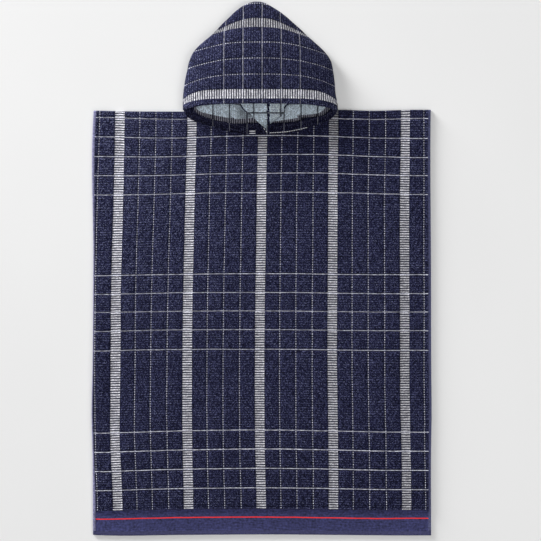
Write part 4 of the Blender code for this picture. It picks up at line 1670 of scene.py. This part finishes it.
    def nape(self, start: np.ndarray, level: float) -> np.ndarray:
        """Rows from under the brow down to the neck's edge.

        Args:
            start: The row that it goes on from.
            level: Its height.

        Returns:
            Points, rows by columns, the first row as given.
        """
        body = self.body
        angle = np.linspace(math.pi, 2 * math.pi, len(start))
        end_x = body.neck_x + (body.neck_half_width - body.gap) * np.cos(angle)
        end_y = np.maximum(body.shoulder + (body.neck_depth - body.gap) * np.sin(angle), 0)
        at_side = np.abs(np.cos(angle)) > self.nape_side
        end_y = np.where(at_side, body.shoulder + self.nape_rise, end_y)
        end_y = np.minimum(end_y, start[:, 1] - self.nape_clear)
        end = np.stack([end_x, end_y], axis=-1)
        rows = np.repeat(start[None], self.nape_rows + 1, axis=0)
        share = np.linspace(0, 1, self.nape_rows + 1)[:, None, None]
        rows[..., :2] += (end - start[:, :2]) * share
        rows[1:, :, 2] = level
        return rows

    def seam_ridge(self, rows: np.ndarray) -> np.ndarray:
        """Height of the centre-back seam's allowance on the lining side, and of the pleats beside it.

        Args:
            rows: Points, rows by columns.

        Returns:
            The height at each point.
        """
        cut, away, y = self.cut, self.cut.from_seam(rows), rows[..., 1]
        ridge = smooth_step(*cut.seam_rise, away) * smooth_step(cut.seam_width, cut.seam_fall, away)
        ends = smooth_step(*cut.seam_low_end, y) * smooth_step(*cut.seam_high_end, y)
        middle_x, middle_y, half_x, half_y = self.flap
        flap = np.hypot((rows[..., 0] - middle_x) / half_x, (y - middle_y) / half_y)
        swell = cut.flap_swell * smooth_step(*self.flap_fade, flap) * (away < 0)
        return cut.seam_height * ridge * ends + swell

    def nape_places(self, rows: np.ndarray) -> np.ndarray:
        """Flat places of the nape and underlay, whose threads run to the centre-back seam."""
        distance = self.nape_reach - np.abs(self.cut.from_seam(rows))
        return np.stack([distance, self.nape_start - rows[..., 1]], axis=-1)

    def add_rows(self, draft: MeshDraft, rows: np.ndarray, places: np.ndarray, finish: HoodSurface,
                 upward: bool) -> None:
        """Adds a grid of points and its faces, with a dark binding on the centre-back seam.

        Args:
            draft: The mesh in the making.
            rows: Points, rows by columns.
            places: Their flat places.
            finish: The finish away from the seam.
            upward: Whether the faces look up.
        """
        cut, away = self.cut, self.cut.from_seam(rows)
        low = upward & (rows[..., 2] < cut.seam_top)
        bound = low & (away > cut.seam_near) & (away < cut.seam_binding) & (rows[..., 1] > cut.binding_from)
        # Beyond the binding the folded allowance gets a finish a little darker than the lining: painted
        # shade beside the seam ridge
        folded = low & (away >= cut.seam_binding) & (away < cut.seam_width)

        def pick(row: int, column: int) -> HoodSurface:
            """Finish of one quad."""
            if bound[row, column] and bound[row, column + 1]:
                return HoodSurface.OUTER
            return HoodSurface.ALLOWANCE if folded[row, column] else finish

        draft.add_grid(draft.add_points(rows), places, pick, upward)

    def add_cap(self, draft: MeshDraft, upper: np.ndarray, lower: np.ndarray, finish: HoodSurface,
                outward: bool) -> None:
        """Closes the narrow end of the crown with a fan.

        Args:
            draft: The mesh in the making.
            upper: Last row of the upper half.
            lower: Last row of the lower half.
            finish: The finish of the new faces.
            outward: Whether they look to +Y.
        """
        loop = np.concatenate([upper, lower[-2:0:-1]])
        ring = np.concatenate([loop, loop.mean(axis=0)[None, :]])
        numbers = draft.add_points(ring)
        for start in range(len(loop)):
            corners = [start, (start + 1) % len(loop), -1]
            places = [(self.cut.length, ring[corner, 0]) for corner in corners]
            draft.add_face(numbers[corners], places, finish, turned=not outward)

    def cheek(self, draft: MeshDraft, rows: Rows, side: int) -> None:
        """Adds one cheek: cloth that folds back at the neck, with a turned hem at its lip.

        Args:
            draft: The mesh in the making.
            rows: The cheek's table.
            side: -1 for the left, 1 for the right.
        """
        cut, body, pane = self.cut, self.body, self.pane
        table = np.array(rows)
        count = int(run_lengths(table[:, :2])[-1] / (pane.rib_pitch / 4))
        fine = np.linspace(0, len(table) - 1, count)
        numbered = np.column_stack([np.arange(len(table)), table])
        curves = [smooth_curve(numbered, column + 1, fine) for column in range(table.shape[1])]
        lip, fold = np.stack(curves[:2], axis=1), np.stack(curves[2:4], axis=1)
        beside = np.abs(lip[:, 0] - body.neck_x) > body.neck_half_width * cut.lip_beside
        covered = body.neck(lip[:, 0]) - cut.lip_overlap
        lip[:, 1] = np.where(beside, lip[:, 1], np.minimum(lip[:, 1], covered))
        tangent = np.gradient(lip, axis=0)
        tangent /= np.linalg.norm(tangent, axis=1, keepdims=True)
        toward = fold - lip
        long = np.linalg.norm(toward, axis=1)
        toward /= long[:, None]
        square = np.abs(toward[:, 0] * tangent[:, 1] - toward[:, 1] * tangent[:, 0])
        square = np.maximum(square, cut.least_square)
        band_stop = HOOD_BAND_PHASE + pane.band_width / 2
        upper, places, finishes = [], [], []
        for place, (run, lip_height, hem, band) in enumerate(zip(run_lengths(lip), *curves[4:])):
            depth = long[place] * square[place]
            stations = self.cheek_stations(hem, band)
            reach = np.minimum(stations, np.linspace(0, 1, len(stations)) ** self.crowding * depth)
            reach = np.where(stations > depth, reach, stations)
            reach = np.maximum.accumulate(np.minimum(reach, depth))
            line = lip[place] + (reach / square[place])[:, None] * toward[place]
            along = np.interp(line[:, 0], *np.array(cut.thread_rows).T)
            turned = reach < hem
            rib = np.cos(2 * math.pi * along / pane.rib_pitch)
            woven = np.interp(reach, [0, hem, band, band + self.past_band[0]],
                              [0, cut.hem, band_stop, band_stop + self.past_band[1]])
            relief = pane.relief(woven - HOOD_BAND_PHASE, along) * self.cheek_relief
            relief *= np.where(turned, self.lip_relief, 1)
            relief *= smooth_step(0, self.relief_at_fold, depth - reach)
            height = self.cheek_height(reach, depth, lip_height, run, hem) + relief
            upper.append(np.column_stack([line, height + self.lip_rib * rib * turned]))
            places.append(np.column_stack([np.where(turned, -woven, woven), side * along]))
            finishes.append([HoodSurface.LIP if flag else HoodSurface.REVERSE for flag in turned])
        self.close_cheek(draft, np.array(upper), np.array(places), finishes, side)

    def cheek_stations(self, hem: float, band: float) -> np.ndarray:
        """Distances from the lip of the cheek's rows.

        Args:
            hem: Width of the hem.
            band: Distance of the ribbed band's far side.

        Returns:
            The distances, the same number for any hem and band.
        """
        before_band = np.linspace(hem + self.band_clear, band - self.band_clear, 4)
        beyond = band + np.array([0.0, self.band_after, *np.arange(*self.cheek_steps)])
        return np.concatenate([hem * np.array(self.hem_shares), before_band, beyond])

    def cheek_height(self, reach: np.ndarray, depth: float, lip: float, run: float,
                     hem: float) -> np.ndarray:
        """Height of a cheek's upper face at distances from its lip.

        Args:
            reach: Distances from the lip.
            depth: The whole depth there.
            lip: Height of the hem at its highest.
            run: How far along the lip this is.
            hem: Width of the hem there.

        Returns:
            Heights.
        """
        cut = self.cut
        hem_share = smooth_step(*(hem + step for step in cut.cheek_hem_fade), reach)
        inward = np.clip((reach - hem) / max(depth - hem, self.least_depth), 0, 1)
        height = cut.cheek_top + (lip - cut.cheek_top) * hem_share
        height -= cut.cheek_drop * smooth_step(*cut.cheek_fall, inward)
        start = cut.panel_top + cut.lip_start
        height = start + (height - start) * arc(reach / (hem * cut.lip_slope))
        low = (cut.terry + cut.cheek_top - cut.cheek_drop) / 2
        height = low + (height - low) * arc((depth - reach) / cut.fold_round)
        ripple = self.cheek_ripple[0] * soft_ripple(np.array(run), reach, *self.cheek_ripple[1:])
        return height - cut.cheek_sag * np.sin(inward * math.pi) + ripple

    def close_cheek(self, draft: MeshDraft, upper: np.ndarray, places: np.ndarray, finishes: list,
                    side: int) -> None:
        """Adds a cheek's upper face, its underside and its ends.

        Args:
            draft: The mesh in the making.
            upper: Points of the upper face, along by across.
            places: Their flat places.
            finishes: Their finishes.
            side: -1 for the left, 1 for the right.
        """
        cut, body = self.cut, self.body
        lower = upper.copy()
        inward = lower[:, -1:, :2] - lower[:, :1, :2]
        inward /= np.maximum(np.linalg.norm(inward, axis=-1, keepdims=True), TINY)
        reach = np.linalg.norm(upper[..., :2] - upper[:, :1, :2], axis=-1, keepdims=True)
        lower[..., :2] += inward * np.clip(cut.under_tuck - reach / 3, 0, None)
        # The navy underside leans out past the fold: a dark strip of painted shade
        shade_lean_share = smooth_step(*(cut.left_shade_lean if side < 0 else cut.right_shade_lean), upper[:, -1, 1])
        lower[:, -1, :2] += inward[:, 0] * (shade_lean_share * cut.fold_shade_lean - cut.fold_tuck * (1 - shade_lean_share))[:, None]
        x, y = lower[..., 0], lower[..., 1]
        over_panel = y < np.minimum(body.neck(x), body.shoulder) + cut.over_panel
        beside = np.abs(x - body.neck_x) > body.neck_half_width - cut.beside_neck
        over_panel |= beside & (y < body.shoulder + cut.over_shoulder)
        floor = np.where(over_panel, cut.panel_top + cut.gap, cut.terry + cut.gap / 3)
        lower[..., 2] = np.minimum(floor, upper[..., 2] - cut.least_cloth)
        lower[:, -1, 2] += cut.fold_lift
        top, low = draft.add_points(upper), draft.add_points(lower)
        upward, across = side > 0, places.swapaxes(0, 1)
        draft.add_grid(top.T, across, lambda row, column: finishes[column][row], upward)
        draft.add_grid(low.T, across, lambda row, column: HoodSurface.OUTER, not upward)
        edges = (np.s_[0], False), (np.s_[-1], True), (np.s_[:, 0], True), (np.s_[:, -1], False)
        for edge, as_side in edges:
            near, far, flat = top[edge], low[edge], places[edge]
            for start in range(len(near) - 1):
                stop = start + 1
                corners = [near[start], near[stop], far[stop], far[start]]
                spots = flat[[start, stop, stop, start]]
                draft.add_face(corners, spots, HoodSurface.OUTER, turned=upward == as_side)

    def build(self, materials: Sequence[bpy.types.Material]) -> bpy.types.Object:
        """Builds the whole hood as one piece.

        Args:
            materials: In the order of HoodSurface.

        Returns:
            The registered piece.
        """
        draft = MeshDraft()
        self.crown(draft)
        self.cheek(draft, self.cut.left_cheek, -1)
        self.cheek(draft, self.cut.right_cheek, 1)
        return register(draft.build("hood_cloth", materials, weld=self.weld), ["hood"])


# -------------------- Sewing --------------------


@dataclass
class Sewing:
    """Rows of separate stitches, each a short round thread that dips into the cloth at both ends."""

    pitch: float = 3.3 * MM
    length: float = 2.5 * MM
    radius: float = 0.36 * MM
    sides: int = 6
    sink: float = 0.12 * MM
    climb: float = 2.6 * MM
    # Along a stitch: share of its length, share of its radius
    profile: Rows = ((0.0, 0.30), (0.18, 0.85), (0.5, 1.0), (0.82, 0.85), (1.0, 0.30))
    dip: float = 0.55

    def row(self, draft: MeshDraft, cloths: Sequence[bpy.types.Object], path: Rows) -> None:
        """Lays stitches along a path, on top of the cloth.

        Args:
            draft: The stitches' mesh in the making.
            cloths: The pieces that the stitches may lie on.
            path: Corners of the path, as x and y.
        """
        trees = [BVHTree.FromObject(cloth, bpy.context.evaluated_depsgraph_get()) for cloth in cloths]
        corners = np.array(path, float)
        steps = run_lengths(corners)
        count = max(1, int(steps[-1] / self.pitch))
        for number in range(count):
            start = (number + 0.5) * steps[-1] / count - self.length / 2
            spots = []
            for share, _ in self.profile:
                place = start + share * self.length
                x, y = (float(np.interp(place, steps, corners[:, axis])) for axis in (0, 1))
                spots.append((x, y, self.top(trees, x, y)))
            heights = [spot[2] for spot in spots]
            if min(heights) > 0 and np.ptp(heights) < self.climb:
                self.stitch(draft, spots)

    @staticmethod
    def top(trees: Sequence[BVHTree], x: float, y: float) -> float:
        """Height of the highest cloth at a spot, or -1 beside the cloth."""
        hits = [tree.ray_cast(Vector((x, y, 0.2)), Vector((0, 0, -1)))[0] for tree in trees]
        return max([hit.z for hit in hits if hit], default=-1.0)

    def stitch(self, draft: MeshDraft, spots: Rows) -> None:
        """Adds one stitch.

        Args:
            draft: The stitches' mesh in the making.
            spots: Points on the cloth under the stitch.
        """
        line = np.array(spots)
        run = line[-1, :2] - line[0, :2]
        side = np.array([-run[1], run[0], 0]) / max(float(np.linalg.norm(run)), TINY)
        up = np.array([0.0, 0.0, 1.0])
        turns = np.arange(self.sides)[:, None] * 2 * math.pi / self.sides
        rings = [spot + up * (self.radius * (swell - self.dip) - self.sink)
                 + self.radius * swell * (side * np.cos(turns) + up * np.sin(turns))
                 for spot, (_, swell) in zip(line, self.profile)]
        numbers = draft.add_points(np.array(rings))
        closed = np.concatenate([numbers, numbers[:, :1]], axis=1)
        draft.add_grid(closed, np.zeros((*closed.shape, 2)), lambda row, column: 0)
        for ring, turned in ((numbers[0], True), (numbers[-1], False)):
            draft.add_face(ring, [(0.0, 0.0)] * self.sides, 0, turned)


NECK_STITCH = Sewing(4.2 * MM, 3.8 * MM, 0.62 * MM, sink=0.0, climb=6.0 * MM)
TACK = Sewing(12.0 * MM, 12.0 * MM, 0.8 * MM, sink=0.0, climb=6.0 * MM)


@dataclass
class Seams:
    """Where the stitches run."""

    body: BodyCut = field(default_factory=BodyCut)
    hood: HoodCut = field(default_factory=HoodCut)
    hem_stitch: Sewing = field(default_factory=Sewing)
    # Topstitching that shows under the right cheek, and two tacks under the left one
    neck_line: Rows = (
        (0.0140, 0.2408), (0.0300, 0.2414), (0.0450, 0.2428), (0.0580, 0.2450), (0.0700, 0.2476),
        (0.0810, 0.2504),
    )
    vee_line: Rows = ((0.0030, 0.2498), (0.0062, 0.2460), (0.0105, 0.2405))
    tacks: tuple[Rows, ...] = (
        ((-0.0225, 0.2436), (-0.0100, 0.2438)), ((-0.0225, 0.2398), (-0.0100, 0.2400)))
    corners: int = 90
    side_ends: Pair = (9 * MM, 274 * MM)
    side_inset: float = 0.9 * MM
    foot_reach: float = 293 * MM
    foot_inset: float = 1.3 * MM
    brow_reach: float = 0.93
    brow_corners: int = 120
    cheek_row: float = 12.2 * MM
    least_cheek: float = 16 * MM
    deep_cheek: float = 40 * MM
    most_spread: float = 1.3

    def body_paths(self) -> list[Rows]:
        """Rows of stitches on the side hems and the foot hem."""
        cut = self.body
        heights = np.linspace(cut.foot + self.side_ends[0], self.side_ends[1], self.corners)
        left = cut.side(heights, Side.LEFT) + cut.side_hem(heights, Side.LEFT) - self.side_inset
        right = cut.side(heights, Side.RIGHT) - cut.side_hem(heights, Side.RIGHT) + self.side_inset
        across = np.linspace(-self.foot_reach, self.foot_reach, self.corners)
        foot = cut.end(across, End.FOOT) + cut.foot_hem - self.foot_inset
        return [list(zip(*path)) for path in ((left, heights), (right, heights), (across, foot))]

    def hood_paths(self, hood: Hood) -> list[Rows]:
        """Rows of stitches on the brow's hem and on both cheeks' hems.

        Args:
            hood: The hood that they lie on.

        Returns:
            The paths, as x and y.
        """
        share = np.linspace(-self.brow_reach, self.brow_reach, self.brow_corners)
        paths = [hood.ring(self.hood.hem - self.side_inset, share, False, False)[:, :2]]
        for rows in (self.hood.left_cheek, self.hood.right_cheek):
            table = np.array(rows)
            toward = table[:, 2:4] - table[:, :2]
            long = np.linalg.norm(toward, axis=1)[:, None]
            spread = np.clip(long / self.deep_cheek, 1, self.most_spread)
            line = table[:, :2] + toward / long * self.cheek_row * spread
            paths.append(line[long[:, 0] > self.least_cheek])
        return paths


# -------------------- Stage --------------------


@dataclass
class Stage:
    """Pale floor, soft studio light and an overhead camera."""

    camera_height: float = 7.5
    view_width: float = 960.3 * MM
    view_centre: Pair = (15.9 * MM, -3.3 * MM)
    sensor: float = 36.0
    floor_colour: Colour = (0.80, 0.80, 0.80)
    floor_drop: float = 0.1 * MM
    floor_scale: float = 3.0
    floor_fade: Series = (0.3, 0.7, 0.985, 1.0)
    sky: float = 0.01
    # Soft lights: name, place, width, power in watts
    lights: tuple[tuple[str, Triple, float, float], ...] = (
        ("grazing_left", (-3.7, 3.7, 0.85), 1.8, 300.0),
        ("low_left", (-3.6, 3.6, 1.2), 2.2, 298.0),
        ("overhead", (0.0, 0.4, 4.0), 3.0, 54.0),
        ("right", (2.9, -1.6, 3.2), 3.2, 92.0),
        ("front", (-1.7, -3.9, 2.0), 3.2, 32.0),
    )

    def build(self) -> None:
        """Builds the floor, lights and camera."""
        self.add_floor()
        for name, place, width, power in self.lights:
            light = self.add_item(name, bpy.data.lights.new(name, "AREA"), place)
            light.data.shape = "DISK"
            light.data.size = width
            light.data.energy = power
            light.rotation_euler = (-Vector(place)).to_track_quat("-Z", "Y").to_euler()
        scene = bpy.context.scene
        scene.world = bpy.data.worlds.new("studio")
        scene.world.use_nodes = True
        background = scene.world.node_tree.nodes["Background"]
        background.inputs[0].default_value = (1.0, 1.0, 1.0, 1.0)
        background.inputs[1].default_value = self.sky
        self.add_camera()
        scene.view_settings.view_transform = "Standard"
        scene.view_settings.look = "None"

    @staticmethod
    def add_item(name: str, data: bpy.types.ID, place: Sequence[float]) -> bpy.types.Object:
        """Puts an object into the scene.

        Args:
            name: Its name.
            data: Its mesh, light or camera.
            place: Where it stands.

        Returns:
            The new object.
        """
        item = bpy.data.objects.new(name, data)
        item.location = place
        bpy.context.scene.collection.objects.link(item)
        return item

    def add_floor(self) -> None:
        """Adds the pale floor."""
        mesh = bpy.data.meshes.new("floor")
        grid = bmesh.new()
        bmesh.ops.create_grid(grid, x_segments=8, y_segments=8, size=4.0)
        grid.to_mesh(mesh)
        grid.free()
        floor = self.add_item("floor", mesh, (0.0, 0.0, -self.floor_drop))
        draft = ClothMaterial("pale_floor", roughness=0.9, sheen=0.0)
        clouds = draft.sketch.level(draft.space(), self.floor_scale, flat=False)
        tone = draft.sketch.fade(clouds, *self.floor_fade)
        mesh.materials.append(draft.finish(draft.sketch.tinted(self.floor_colour, tone)))

    def add_camera(self) -> None:
        """Adds the camera, straight above."""
        data = bpy.data.cameras.new("overhead")
        data.type = "PERSP"
        data.sensor_width = self.sensor
        data.lens = self.sensor * self.camera_height / self.view_width
        data.clip_end = 50.0
        bpy.context.scene.camera = self.add_item("overhead", data, (*self.view_centre, self.camera_height))


# -------------------- The garment --------------------

NAVY = (0.0141, 0.0153, 0.0500)
# The cheeks' turned hems: the navy darkened, painted shade under the crown
LIP_NAVY_PAINTED_SHADE = (0.0080, 0.0084, 0.0265)
WHITE_YARN = (0.61, 0.62, 0.72)
RIDGE = (0.86, 0.86, 0.92)
FURROW = (0.050, 0.050, 0.075)
# The lining's ribbed band, darkened: painted shade of the band beside the lips
RIDGE_PAINTED_SHADE = (0.31, 0.31, 0.37)
FURROW_PAINTED_SHADE = (0.014, 0.015, 0.024)
BORDER_BLUE = (0.0322, 0.0340, 0.101)
HEM_LAVENDER = (0.180, 0.180, 0.300)
# The right hem: the hem cloth darker and bluer, painted shade on the side away from the light
HEM_BLUE_PAINTED_SHADE = (0.080, 0.086, 0.175)
FOOT_BLUE = (0.050, 0.051, 0.125)
REVERSE_GREY = (0.43, 0.50, 0.57)
REVERSE_LINE = (0.022, 0.024, 0.036)
# The folded seam allowance: the lining grey a little darker, painted shade beside the seam ridge
ALLOWANCE_GREY_PAINTED_SHADE = (0.41, 0.47, 0.54)
NAVY_THREAD = (0.030, 0.031, 0.070)
WHITE_THREAD = (0.80, 0.80, 0.84)

ON_HOOD = {"band_phase": HOOD_BAND_PHASE, "solid_phase": 0.0, "lowest_solid": -10.0}
CALM_LOOPS = {"loop_size": 1.8 * MM, "contrast": 0.42, "blue_hold": 1.0, "row_depth": 0.12}
INNER_LINES = {"groove_shade": 0.0, "sheen": 0.03, "line_width": 3.0 * MM, "evenness": 0.85}

# In the order of Surface
BODY_FINISHES = (
    TerryFinish("body_terry", NAVY, WHITE_YARN, RIDGE, FURROW, lie=PaintedLight.BODY),
    TerryFinish("body_reverse", REVERSE_GREY, REVERSE_LINE, RIDGE, REVERSE_LINE, **CALM_LOOPS),
    FlatWovenFinish("border_cloth", BORDER_BLUE, line_half_length=294.0 * MM, lie=PaintedLight.BORDER),
    FlatWovenFinish("left_hem_cloth", HEM_LAVENDER, contrast=0.3),
    FlatWovenFinish("foot_hem_cloth", FOOT_BLUE, contrast=0.2),
    # The right hem in painted shade
    FlatWovenFinish("right_hem_painted_shade", HEM_BLUE_PAINTED_SHADE, contrast=0.3),
)
# In the order of HoodSurface
HOOD_FINISHES = (
    TerryFinish("hood_terry", NAVY, WHITE_YARN, RIDGE, FURROW, thin_strength=0.95, solid_strength=0.50,
                rise=1.08, lie=PaintedLight.HOOD, **ON_HOOD),
    # The lining: its ribbed band in painted shade, and painted shade beside the left fold
    TerryFinish("hood_reverse", REVERSE_GREY, REVERSE_LINE, RIDGE_PAINTED_SHADE, FURROW_PAINTED_SHADE, bump=0.45,
                lie=PaintedLight.CHEEK, **ON_HOOD, **CALM_LOOPS, **INNER_LINES),
    # The seam allowance: its own loop texture, and painted shade
    TerryFinish("hood_allowance_painted_shade", ALLOWANCE_GREY_PAINTED_SHADE, REVERSE_LINE, REVERSE_LINE, REVERSE_LINE, contrast=0.5,
                row_depth=0.1, **ON_HOOD, **INNER_LINES),
    # The lips: a darker copy of the outer terry with dimmed lines and no sheen, painted shade under the
    # crown
    TerryFinish("hood_lip_painted_shade", LIP_NAVY_PAINTED_SHADE, WHITE_YARN, RIDGE, FURROW, thin_strength=0.0, solid_strength=0.30,
                sheen=0.0, **ON_HOOD),
)


@dataclass
class Garment:
    """The whole poncho with its finishes."""

    library: ShaderLibrary = field(default_factory=ShaderLibrary)
    seams: Seams = field(default_factory=Seams)

    def build(self) -> None:
        """Builds every piece in order."""
        body_cloths, hood_cloths = ([finish.dress(self.library) for finish in finishes]
                                    for finishes in (BODY_FINISHES, HOOD_FINISHES))
        back = BodyPanel("back_cloth", "body_back", on_top=False).build(body_cloths)
        front = BodyPanel("front_cloth", "body_front", on_top=True).build(body_cloths)
        hood = Hood().build(hood_cloths)
        self.sew(front, hood)

    def sew(self, front: bpy.types.Object, hood: bpy.types.Object) -> None:
        """Adds the stitches.

        Args:
            front: The front panel.
            hood: The hood.
        """
        navy = ThreadFinish("navy_thread", NAVY_THREAD).dress()
        white = ThreadFinish("white_thread", WHITE_THREAD).dress()
        seams, both = self.seams, [front, hood]
        hems = [(seams.hem_stitch, [front], path) for path in seams.body_paths()]
        brow = [(seams.hem_stitch, [hood], path) for path in seams.hood_paths(Hood())]
        neck = [(NECK_STITCH, both, path) for path in (seams.neck_line, seams.vee_line)]
        neck += [(TACK, both, path) for path in seams.tacks]
        for name, thread, slot, rows in (("body_stitches", navy, "body_cloth", hems),
                                         ("hood_stitches", navy, "hood_cloth", brow),
                                         ("neck_stitches", white, "hood_cloth", neck)):
            draft = MeshDraft()
            for sewing, cloths, path in rows:
                sewing.row(draft, cloths, path)
            register(draft.build(name, [thread]))


def main() -> None:
    """Builds the garment and its stage."""
    logging.basicConfig(level=logging.INFO, format="%(name)s: %(message)s")
    Stage().build()
    Garment().build()


if __name__ == "__main__":
    main()
